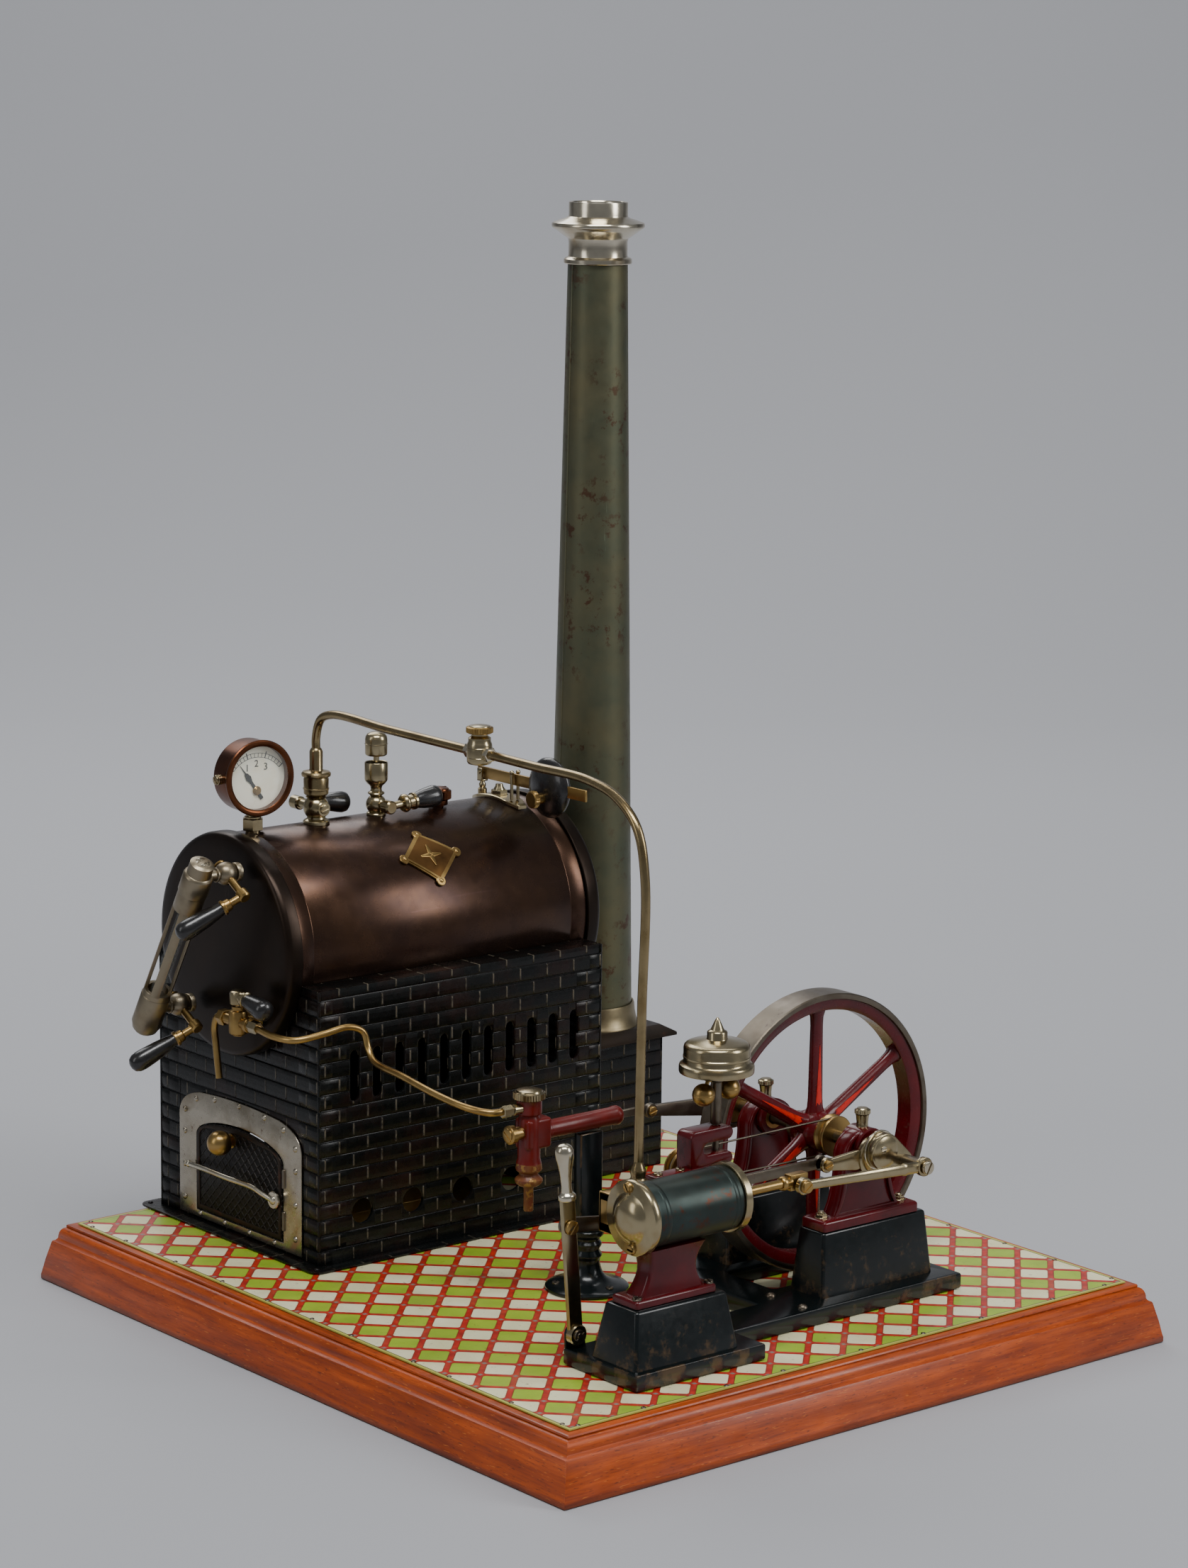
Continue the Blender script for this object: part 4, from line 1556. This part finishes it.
def make_cylinder():
    f, r = CYL_FRONT, CYL_REAR
    jacket = [(9.6, f), (13.5, f), (13.8, f + 0.3), (13.8, f + 2.4), (13.95, f + 2.8),
              (13.95, r - 0.6), (13.7, r - 0.3), (13.7, r), (9.6, r)]
    seams = []
    for x in (f + 5, r - 5):
        seams.append(along_cylinder([(13.9, x), (14.0, x + 0.15), (14.0, x + 2.4),
                                     (13.9, x + 2.6)]))
    flange = [(2.6, r - 0.4), (14.8, r - 0.1), (15.2, r + 0.3), (15.2, r + 3.2), (14.8, r + 3.6),
              (2.6, r + 3.6)]
    gland = [(2.6, r + 3), (7.4, r + 3), (7.8, r + 3.4), (8, r + 4.4), (8, r + 5.6), (7.4, r + 6.4),
             (2.6, r + 6.6)]
    bolts = []
    for k in range(6):
        a = math.pi * (k + 0.5) / 3
        stud = facing([hexagon(2.1, 0, 1.5), cylinder(1.0, 1.2, 2.4, 0.2)], "+X")
        bolts += moved(stud, r + 3.5, CYL_Y + 12.2 * math.cos(a), CYL_Z + 12.2 * math.sin(a))
    milled = knurled(8.0, r + 3.5, r + 6.2, 40, 0.45).along_x().at(0, CYL_Y, CYL_Z)
    piece("jacketed_cylinder", "cylinder", (JACKET, along_cylinder(jacket), *seams),
          (NICKEL, along_cylinder(flange), along_cylinder(gland), milled, *bolts))

    x = CYL_FRONT - 0.3
    cover = [(0, x), (16.1, x), (16.3, x - 0.4), (16.3, x - 2.4), (15.9, x - 3.1), (15.2, x - 3.4),
             (11.2, x - 3.7), (10.4, x - 4.1), (9.4, x - 5.2), (8, x - 6.3), (6, x - 7.2),
             (3.4, x - 7.8), (0, x - 8)]
    screws = []
    for k in range(2):
        a = (0.47 + k) * math.pi
        head = [lathe([(0, 0), (2.4, 0), (2.4, 0.6), (1.9, 1.3), (0, 1.3)], 32)]
        head += moved(screw(2.0, 1.2, 35 + 50 * k), z=0.7)
        y, z = CYL_Y + 13.2 * math.cos(a), CYL_Z + 13.2 * math.sin(a)
        screws += facing(head, "-X", x - 3.2, y, z)
    piece("domed_cover", "cylinder_cover", (NICKEL, along_cylinder(cover, 80)), (BRASS, *screws))


def make_crosshead():
    head = CROSSHEAD_X
    piston = [(0, -67), (8.4, -67), (9.1, -66.4), (9.1, -64.6), (8.8, -64.4), (8.8, -63.6),
              (9.1, -63.4), (9.1, -60), (8.4, -59.4), (0, -59.4)]
    collar = [(0, head - 9), (2.6, head - 9), (2.9, head - 8.7), (3.15, head - 8.2),
              (3.15, head - 6.6), (2.8, head - 5.8), (2.8, head - 4), (0, head - 4)]
    gunmetal = block(head - 5, head + 5, CYL_Y - 2.25, CYL_Y + 2.25, CYL_Z - 3.55, CYL_Z + 3.55,
                     0.5)
    back = facing(screw(2.4, 0.7, 70), "+Y", head, CYL_Y + 2.1, CYL_Z - 1.2)
    bar = rod((-60, CYL_Y, CYL_Z), (head, CYL_Y, CYL_Z), 2.05)
    piece("piston_rod", "piston_and_crosshead", (BRASS, gunmetal, along_cylinder(collar), bar,
                                                 *back), (STEEL, along_cylinder(piston)))


shaft = Box("flywheel")
SHAFT_X, SHAFT_Z = shaft.x, shaft.z


def off_shaft(throw, degrees):
    """A point at rest that runs round the shaft's axis, as (x, z)."""
    angle = math.radians(degrees)
    return (SHAFT_X + throw * math.cos(angle), SHAFT_Z + throw * math.sin(angle))


PIN = off_shaft(13, -27)
VALVE_AT = off_shaft(3.5, -117)
FEED_AT = off_shaft(5, 160)
ROD_NEAR, ROD_FAR = CYL_Y - 6.3, CYL_Y - 3.5
CROSSHEAD_X = -9.8
VALVE_EYE = (20, 96.4)
PUMP_EYE = (-4, PUMP_Z)
FEED_NEAR, FEED_FAR = -46, -42.4


def make_connecting_rod():
    near, far = ROD_NEAR, ROD_FAR
    small = (CROSSHEAD_X, CYL_Z - 1.2)
    length = math.dist(PIN, small)
    tilt = math.degrees(math.atan2(PIN[1] - small[1], PIN[0] - small[0]))
    bar = [(0, 1), (2.2, 1), (2.3, length * 0.4), (2.55, length - 13), (2.9, length - 12.6),
           (2.9, length - 10.6), (2.6, length - 10), (2.6, length - 1), (0, length - 1)]
    blade = lathe(bar, 36).along_x().scaled(1, 0.5, 1).turned("Y", -tilt)
    blade = blade.at(small[0], (near + far) / 2, small[1])
    eyes = [plate_y(circle(*PIN, 4.3, 40), near, far, [circle(*PIN, 2.1, 24)], 0.35),
            cylinder(3.8, near, far, 0.35).along_y().at(small[0], 0, small[1])]
    head = [lathe([(0, 0), (2.9, 0), (2.9, 0.8), (2.4, 1.3), (0, 1.3)], 32),
            *moved(screw(2.6, 1.0, 35), z=1.1)]
    head = facing(head, "-Y", small[0], near + 0.05, small[1])
    piece("polished_rod", "connecting_rod", (NICKEL, blade, *eyes), (BRASS, *head))


def make_steam_chest():
    c = Box("steam_chest")
    sides = [
        block(c.x0, c.x1, c.y0, c.y0 + 1.3, c.z0, c.z1, 0.3),
        block(c.x0, c.x1, c.y1 - 2, c.y1, c.z0, c.z1, 0.5),
        block(c.x0, c.x1, c.y0 + 0.1, c.y1 - 0.1, c.z0, 90, 0.5),
        block(c.x0, c.x1, c.y0 + 0.1, c.y1 - 0.1, 99, c.z1, 0.6),
        block(c.x0, -94, c.y0 + 0.1, c.y1 - 0.1, c.z0 + 0.1, c.z1 - 0.1, 0.5),
    ]
    end = plate_x(rectangle(c.y0 + 0.1, c.y1 - 0.1, c.z0 + 0.1, c.z1 - 0.1, 0.5), -55, c.x1,
                  [rectangle(-132.4, -129.2, 93.5, 99.3)], 0.4)
    bolts = []
    for x in (-94, -78, -62):
        for z in (88, 100.4):
            bolts += facing([hexagon(1.7, 0, 1.2)], "+Y", x, c.y1 - 1.25, z)
    top = moved(screw(2.0, 0.4, 60), -90, -128, c.z1 - 0.45)
    piece("valve_chest", "steam_chest", (BRASS, *sides, end), (NICKEL, *bolts, *top))

    near, far = -131.8, -129.8
    bar = block(-67, VALVE_EYE[0], near, far, 94, 98.8, 0.35)
    eye = cylinder(3.6, near, far, 0.35).along_y().at(VALVE_EYE[0], 0, VALVE_EYE[1])
    slide = block(-86, -66, -131.2, -125.2, 91, 97.6, 0.5)
    piece("flat_valve_rod", "valve_rod", (STEEL, bar, eye), (BRASS, slide))


def eccentric(title, node, finish, centre, end, near, far, inner, outer):
    """A strap round its sheave, with an arm and an eye on the end's pin."""
    strap = plate_y(circle(*centre, outer, 64), near, far, [circle(*centre, inner + 0.05, 56)], 0.4)
    eye = cylinder(3.4, near + 0.4, far - 0.6, 0.35).along_y().at(end[0], 0, end[1])
    head = facing(screw(2.2, 1.2, 15), "-Y", end[0], near + 0.4, end[1])
    # The arm starts outside the sheave's hole.
    way = Vector((end[0] - centre[0], end[1] - centre[1])).normalized()
    root = (centre[0] + way.x * (outer + 1.2), centre[1] + way.y * (outer + 1.2))
    blade = plate_y(teardrop(root, 4.4, end, 2.4), near + 0.5, far - 0.65, edge=0.3)
    piece(title, node, (finish, strap, blade, eye), (BRASS, *head))


def make_crankshaft():
    x, z = SHAFT_X, SHAFT_Z
    shaft_rod = cylinder(2.95, -140.9, -40.1, 0.5).along_y().at(x, 0, z)
    collar = lathe([(0, 0), (6.0, 0), (6.3, 0.3), (6.3, 2.6), (6.0, 2.9), (0, 2.9)],
                   40).along_y().at(x, -85.1, z)
    g0, g1 = -109.4, -103.6
    pulley = [(0, g0), (9.0, g0), (9.3, g0 + 0.3), (9.3, g0 + 1.0), (8.6, g0 + 1.5),
              (7.4, g0 + 2.2), (7.15, g0 + 2.9), (7.4, g0 + 3.6), (8.6, g1 - 1.5), (9.3, g1 - 1.0),
              (9.3, g1 - 0.3), (9.0, g1), (0, g1)]
    web = plate_y(teardrop((x, z), 8.3, PIN, 4.6), -141.2, -137.3, edge=0.7)
    dome = lathe([(0, 1.2), (2.4, 1.15), (5.2, 0.8), (7.0, 0.2), (7.4, 0), (0, 0)],
                 48).turned("X", 90).at(x, -141.0, z)
    set_screw = facing(screw(1.5, 0.5, 10), "-Y", x - 2.2, -141.9, z + 1.6)
    ring = lathe([(3, 0), (8.8, 0), (9.1, 0.3), (9.1, 0.9), (8.8, 1.2), (3, 1.2)],
                 56).along_y().at(x, -137.3, z)
    near = ROD_NEAR
    pin = cylinder(1.8, near - 1.4, -137.9, 0.2).along_y().at(PIN[0], 0, PIN[1])
    back = cylinder(3.0, CYL_Y - 3.1, -140.7, 0.4).along_y().at(PIN[0], 0, PIN[1])
    head = [cylinder(3.0, 0, 1.2, 0.3), *moved(screw(2.9, 1.0, 62), z=1.0)]
    head = facing(head, "-Y", PIN[0], near - 0.4, PIN[1])
    valve = cylinder(7.0, -136.6, -133.8, 0.3).along_y().at(VALVE_AT[0], 0, VALVE_AT[1])
    feed = cylinder(8.4, FEED_NEAR, FEED_FAR, 0.4).along_y().at(FEED_AT[0], 0, FEED_AT[1])
    end = facing(screw(2.6, 0.9, 44), "+Y", x, -41.0, z)
    piece("crank_and_shaft", "crankshaft", (NICKEL, web, dome),
          (BRASS, valve, feed, lathe(pulley, 64).along_y().at(x, 0, z)),
          (STEEL, shaft_rod, pin, back, collar), (BRIGHT, ring, *head, *set_screw, *end))


def make_flywheel():
    r, near, far = 63.45, -101.5, -87.3
    inner, hub_r, steps = 55.5, 6.5, 12
    half = (far - near) / 2
    tyre = mirrored([(r - 3.0, 1.5 - half), (r - 2.6, 0.25 - half), (r - 2.0, -half),
                     (r - 0.5, -half), (r, 0.5 - half)])
    body = mirrored([(inner, 2.9 - half), (inner + 0.8, 2.2 - half), (r - 3.2, 1.35 - half),
                     (r - 2.7, 1.35 - half)])
    hub = mirrored([(3.3, -half - 1.6), (6.4, -half - 1.6), (7.2, -half - 1.2), (8.0, 0.9 - half),
                    (8.6, 2.2 - half), (8.9, 3.4 - half)])

    def spoke_rings():
        for step in range(steps + 1):
            t = step / steps
            reach = hub_r + (inner + 0.8 - hub_r) * t
            flare = 1.8 * max(0, (t - 0.86) / 0.14) ** 2 + 1.6 * max(0, (0.14 - t) / 0.14) ** 2
            wide = 3.85 - 0.75 * t + flare
            angles = (2 * math.pi * j / 20 for j in range(20))
            yield [(wide * math.cos(a), reach, wide * 0.74 * math.sin(a)) for a in angles]

    def lining_rings(side):
        """A long orange wedge that lies on one face of a spoke."""
        for step in range(steps + 1):
            t = 0.06 + 0.6 * step / steps
            wide = 3.85 - 0.75 * t
            w = 1.9 * (1 - step / (steps + 0.5))
            ring = []
            for x, lift in ((-w, 0.14), (0, 0.14), (w, 0.14), (w, -0.3), (-w, -0.3)):
                bulge = wide * 0.74 * math.sqrt(1 - (x / wide) ** 2)
                ring.append((x, hub_r + (inner - 5.7) * t, side * (bulge + lift)))
            yield ring

    spokes = [skin(list(spoke_rings())).turned("Z", 60 * k) for k in range(6)]
    lines = [skin(list(lining_rings(side))).turned("Z", 60 * k) for k in range(6)
             for side in (-1, 1)]

    def place(solids):
        return [s.along_y().at(SHAFT_X, (near + far) / 2, SHAFT_Z) for s in solids]

    red = place([lathe(body, 128), lathe(hub, 56), *spokes])
    piece("spoked_flywheel", "flywheel", (WHEEL_RED, *red), (LINING, *place(lines)),
          (STEEL, *place([lathe(tyre, 128)])))


def make_bearing(node, title):
    b = Box(node)
    z = b.z0
    foot = casting(-28.5, 28.5, -7.6, 7.6, z, z + 4.6, (0, 0), 1.5, 1.2)
    left = quadratic((19.4, z + 4), (14, 76), (13.2, 92), 14)
    crown = arc(0, SHAFT_Z - 3.4, 13.2, 0, 180, 28, ry=11.4)
    right = [(-px, pz) for px, pz in reversed(left)]
    outline = [(19.4, z + 4), *left, *crown, (-13.2, 92), *right[1:], (-19.4, z + 4)]
    outline = [(-px, pz) for px, pz in outline]
    web = plate_y(outline, -3.2, 3.2, edge=0.3)
    recess = [(px * 0.86, z + 5.6 + (pz - z - 4) * 0.93) for px, pz in outline]
    flanges = [plate_y(outline, y0, y1, [recess], 0.3) for y0, y1 in ((-4.4, -2.8), (2.8, 4.4))]
    drum = lathe(mirrored([(3.4, -6.2), (7.9, -6.2), (8.6, -5.6)]), 48).along_y().at(z=SHAFT_Z)
    bush = lathe(mirrored([(3.35, -6.25), (5.2, -6.25), (5.2, -6.1)]), 40).along_y().at(z=SHAFT_Z)
    stem = lathe([(0, 104), (3.3, 104.8), (3.3, 105.6), (2.7, 106.6), (2.6, 109), (2.9, 111.6),
                  (3.1, 112.4), (0, 112.4)], 36)
    cap = [knurled(3.6, 112.4, 114.9, 22, 0.3), lathe([(0, 114.7), (2.9, 114.7), (2.4, 115.3),
                                                       (0, 115.4)], 32)]
    bolt_xs = (-23.5, 23.5)
    bolt = (hexagon(2.6, 0, 1.9), cylinder(1.5, 1.6, 3.0, 0.4))
    bolts = [s.at(x, 0, z + 4.4) for x in bolt_xs for s in bolt]
    washers = [cylinder(3.2, z + 4.3, z + 4.9, 0.2).at(x, 0) for x in bolt_xs]
    place = (SHAFT_X, b.y, 0)
    piece(title, node, (CRIMSON, *moved([foot, web, *flanges, drum], *place)),
          (BRASS, *moved([bush], *place)), (NICKEL, *moved([stem, *cap, *bolts, *washers], *place)))


# ================================================================ governor and control lever

GOV_X, GOV_Y, GOV_TURN = -36, -125, 8
IDLER_X, IDLER_Y, IDLER_Z = Box("governor_pulley").x, -106.5, 98.5


def make_governor():
    z0 = Box("steam_chest").z1 + 0.3
    foot = block(-74, -47, -131, -123.4, z0, z0 + 2.6, 0.6)
    x = GOV_X
    outline = [(-54, 104.6), (x + 3, 104.6), *arc(x + 3, 107.6, 3, -90, 90, 12), (-44, 110.6),
               *arc(-44, 113.2, 2.6, 270, 90, 12), (x + 3, 115.8),
               *arc(x + 3, 118.8, 3, -90, 90, 12), (-51, 121.8), *arc(-51, 118.8, 3, 90, 180, 8)]
    arm = plate_y(outline, GOV_Y - 5, GOV_Y + 5, edge=0.8)
    ear = [(IDLER_X - 4.4, 105), (IDLER_X - 4.4, IDLER_Z),
           *arc(IDLER_X, IDLER_Z, 4.4, 180, 360, 16), (IDLER_X + 4.4, 105)]
    lug = plate_y(ear, -123, -118.4, [circle(IDLER_X, IDLER_Z, 1.9)], 0.5)
    boss = [(1.9, 0), (4.1, 0), (4.4, 0.4), (4.4, 6.4), (4.1, 6.8), (1.9, 6.8)]
    boss = lathe(boss, 36).along_y().at(IDLER_X, -123.4, IDLER_Z)
    bolts = [s.at(px, -127.6, z0 + 2.5) for px in (-70.4, -58) for s in screw(2.0, 1.2, 50)]
    piece("governor_stand", "governor_bracket", (CRIMSON, foot, arm, lug, boss), (NICKEL, *bolts))

    spindle = [(0, 104.8), (1.5, 104.8), (1.5, 122.2), (2.2, 122.3), (2.4, 122.7), (2.4, 140.6),
               (2.9, 141.1), (3.5, 141.4), (3.6, 141.8), (3.6, 144.2), (3.2, 144.8), (1.6, 145.1),
               (1.6, 156.4), (0, 156.4)]
    bell = [(1.4, 156.0), (11.6, 155.6), (12.4, 154.8), (13.0, 149.6), (13.4, 148.7), (15.0, 148.2),
            (15.1, 145.4), (15.5, 145.05), (16.1, 145.1), (16.3, 145.6), (16.3, 148.0),
            (16.0, 148.7), (14.8, 149.4), (14.4, 150.2), (14.4, 155.9), (14.1, 157), (13.3, 157.8),
            (12, 158.3), (4.6, 159.6), (4.4, 160.0), (4.4, 162.6), (4.1, 163.1), (3, 163.7),
            (2.3, 165.2), (1.2, 167.6), (0.5, 168.8), (0, 169.15), (0, 157)]
    at = (GOV_X, GOV_Y, 0)
    band = lathe([(14.35, 151.4), (14.6, 151.7), (14.6, 152.4), (14.35, 152.7)], 56)
    piece("governor_column", "governor_spindle", (NICKEL, *moved([lathe(bell, 64), band], *at)),
          (STEEL, lathe(spindle, 36).at(*at)))

    for where, side in (("front", -1), ("rear", 1)):
        a = math.radians(GOV_TURN)
        reach = side * 5.3
        spot = (GOV_X + reach * math.cos(a), GOV_Y + reach * math.sin(a), 143)
        parts = [ball(4.95, sides=36).at(side * 3, 0, -6.6),
                 rod((0, 0, 0), (side * 3, 0, -6.6), 0.9), cylinder(1.3, -1.6, 1.6, 0.3).along_y()]
        band = lathe([(4.9, -0.25), (5.0, -0.1), (5.0, 0.1), (4.9, 0.25)], 36).at(side * 3, 0, -6.6)
        parts = [s.turned("Z", GOV_TURN).at(*spot) for s in (*parts, band)]
        piece(f"fly_weight_{where}", f"governor_ball_{where}", (BRASS, *parts))

    g0, g1 = -109.2, -103.8
    pulley = [(0, -123.6), (1.5, -123.6), (1.5, -116.2), (2.9, -116), (3, -115.6), (3, g0),
              (8.9, g0), (9.2, g0 + 0.3), (9.2, g0 + 1.0), (8.4, g0 + 1.5), (6.9, g0 + 2.1),
              (6.55, g0 + 2.7), (6.9, g0 + 3.3), (8.4, g1 - 1.5), (9.2, g1 - 1.0), (9.2, g1 - 0.3),
              (8.9, g1), (0, g1)]
    dimples = []
    for k in range(4):
        a = k * math.pi / 2 + 0.5
        dimples += facing([cylinder(1.3, 0, 0.4, 0.1)], "-Y", 5.4 * math.cos(a), g0 + 0.1,
                          5.4 * math.sin(a))
    piece("small_pulley", "governor_pulley",
          (BRASS, lathe(pulley, 56).along_y().at(IDLER_X, 0, IDLER_Z)),
          (STEEL, *moved(dimples, IDLER_X, 0, IDLER_Z)))


def make_belt():
    """A spring belt: a fine coil wound along the loop round both pulleys."""
    big, small, r = 7.2 + 0.85, 6.6 + 0.85, 0.5
    loop = arc(SHAFT_X, SHAFT_Z, big, -90, 90, 40) + arc(IDLER_X, IDLER_Z, small, 90, 270, 40)
    fine = []
    loop.append(loop[0])
    for (ax, az), (bx, bz) in zip(loop, loop[1:]):
        steps = max(1, round(math.dist((ax, az), (bx, bz)) / 0.28))
        fine += [(ax + (bx - ax) * k / steps, az + (bz - az) * k / steps) for k in range(steps)]
    verts, faces, n, sides = [], [], len(fine), 8
    for i, (x, z) in enumerate(fine):
        px, pz = fine[i - 1]
        qx, qz = fine[(i + 1) % n]
        way = Vector((qx - px, 0, qz - pz)).normalized()
        out = Vector((way.z, 0, -way.x))
        swell = r * (1.0 if i % 2 else 0.8)
        for k in range(sides):
            a = 2 * math.pi * k / sides
            across = Vector((0, swell * math.sin(a), 0))
            verts.append(Vector((x, IDLER_Y, z)) + out * swell * math.cos(a) + across)
    for i in range(n):
        for k in range(sides):
            a, b = i * sides + k, i * sides + (k + 1) % sides
            j = (i + 1) % n * sides
            faces.append([a, b, j + (k + 1) % sides, j + k])
    piece("spring_belt", "governor_belt", (STEEL, Solid(verts, faces)), sharp=60)


def make_control_lever():
    x, y, z = LEVER[0], LEVER[1] - 1, LEVER[2]
    blade = block(-3.6, 3.6, -1.05, 1.05, -2, 61, 0.5, 3)
    eye = cylinder(4.6, -2.5, 1.05, 0.5).along_y()
    cap = facing(screw(2.6, 0.9, 30), "-Y", 0, -2.3, 0)
    knob = [(0, 60), (3.6, 60), (3.8, 60.4), (3.8, 62), (3.4, 62.6), (2.4, 63.4), (2.2, 66),
            (2.5, 71), (3.2, 75.4), (3.9, 78.4), (4, 80), (3.9, 81.8), (3.2, 83.4), (2, 84.3),
            (0, 84.6)]

    def place(solids):
        return [s.turned("Y", -5).at(x, y, z) for s in solids]

    piece("reversing_lever", "control_lever", (NICKEL, *place([blade, eye])),
          (BRIGHT, *place([lathe(knob, 40)])), (STEEL, *place(cap)))

    up = 48
    lx, lz = x + up * math.sin(math.radians(-5)), z + up * math.cos(math.radians(-5))
    y0 = y + 1.4
    end = (lx + 20, lz - 2.4)
    link = plate_y(teardrop((lx, lz), 3.5, end, 3.1), y0, y0 + 1.6, edge=0.3)
    pin = cylinder(1.3, y - 2.4, y0 + 0.5, 0.1).along_y().at(lx, 0, lz)
    head = facing(screw(3.2, 1.5, 48), "-Y", lx, y - 1.5, lz)
    far = facing(screw(2.3, 0.9, 20), "-Y", end[0], y0 + 0.3, end[1])
    piece("throttle_link", "control_link", (STEEL, link, pin), (BRASS, *head, *far))


# ================================================================ floor, light and camera


def make_stage():
    f = Finish("studio_floor", 0.9)
    f.colour(f.mix(f.noise(900, detail=2), srgb(166, 167, 171), srgb(160, 161, 165)))
    f.bump(f.noise(3, detail=2), 0.02)
    mesh = bpy.data.meshes.new("floor")
    verts, faces = [], []
    width, front, back, height, bend = 7.0, -4.0, 1.6, 4.5, 2.2
    # A sheet that lies flat and then curves up behind the machine, square to the camera's heading.
    bends = [math.pi / 2 * k / 16 for k in range(17)]
    curve = [(back + bend * math.sin(a), bend * (1 - math.cos(a))) for a in bends]
    outline = [(front, 0.0), *curve, (back + bend, height)]
    heading = math.radians(-40)
    for along, up in outline:
        for across in (-width, width):
            x = across * math.cos(heading) - along * math.sin(heading)
            y = across * math.sin(heading) + along * math.cos(heading)
            verts.append((x, y, up))
    for i in range(len(outline) - 1):
        faces.append((2 * i, 2 * i + 1, 2 * i + 3, 2 * i + 2))
    mesh.from_pydata(verts, [], faces)
    mesh.polygons.foreach_set("use_smooth", [True] * len(faces))
    mesh.materials.append(f.material)
    floor = bpy.data.objects.new("studio_floor", mesh)
    scene.collection.objects.link(floor)


def soft_light(name, place, size, watts, target=(0, 0, 0.12)):
    data = bpy.data.lights.new(name, "AREA")
    data.shape = "RECTANGLE"
    data.size, data.size_y = size
    data.energy = watts
    light = bpy.data.objects.new(name, data)
    light.location = place
    light.rotation_euler = (Vector(target) - Vector(place)).to_track_quat("-Z", "Y").to_euler()
    scene.collection.objects.link(light)


def make_light():
    world = bpy.data.worlds.new("studio")
    world.use_nodes = True
    sky = world.node_tree.nodes["Background"].inputs
    sky["Color"].default_value = (0.62, 0.64, 0.68, 1)
    sky["Strength"].default_value = 0.3
    scene.world = world
    soft_light("overhead_softbox", (-0.5, -0.7, 1.8), (1.3, 0.5), 28)
    soft_light("left_softbox", (-1.9, 0.3, 1.0), (0.6, 1.2), 5)
    soft_light("right_softbox", (1.2, -1.8, 1.2), (0.7, 1.2), 21)
    soft_light("back_softbox", (0.4, 1.5, 1.5), (1.4, 0.8), 12)
    soft_light("backdrop_softbox", (0.6, 0.9, 2.6), (2.4, 1.4), 60, (2.0, 2.6, 1.0))


def make_camera():
    data = bpy.data.cameras.new("camera")
    data.sensor_width = 36
    data.lens = 96.4
    data.shift_x, data.shift_y = -0.0143, -0.001
    data.clip_start, data.clip_end = 0.05, 30
    camera = bpy.data.objects.new("camera", data)
    azimuth, elevation, roll = math.radians(40), math.radians(10.66), math.radians(0.73)
    level = math.cos(elevation)
    forward = Vector((math.sin(azimuth) * level, math.cos(azimuth) * level, -math.sin(elevation)))
    right = Vector((math.cos(azimuth), -math.sin(azimuth), 0))
    up = right.cross(forward)
    tilted_right = right * math.cos(roll) + up * math.sin(roll)
    tilted_up = tilted_right.cross(forward)
    basis = Matrix((tilted_right, tilted_up, -forward)).transposed().to_4x4()
    camera.matrix_world = Matrix.Translation(Vector((-1189, -1430, 598)) * MM) @ basis
    scene.collection.objects.link(camera)
    scene.camera = camera


for make in (make_base, make_floor, make_house, make_brick_relief, make_quoins, make_door,
             make_latch, make_burner, make_chimney, make_boiler, make_plaque, make_stop_valve,
             make_steam_pipes, make_lubricator, make_whistle, make_filler, make_safety_valve,
             make_pressure_gauge, make_water_gauge, make_feed_cock, make_feed_pipe, make_pump,
             make_bed, make_pedestal, make_cylinder, make_crosshead, make_connecting_rod,
             make_steam_chest):
    make()
eccentric("valve_strap", "valve_eccentric_rod", NICKEL, VALVE_AT, VALVE_EYE, -136.6, -133.6, 7.3,
          9.8)
eccentric("pump_strap", "pump_eccentric_rod", STEEL, FEED_AT, PUMP_EYE, FEED_NEAR, FEED_FAR, 8.7,
          10.8)
make_crankshaft()
make_flywheel()
make_bearing("near_bearing", "near_pillar")
make_bearing("far_bearing", "far_pillar")
for make in (make_governor, make_belt, make_control_lever, make_stage, make_light, make_camera):
    make()
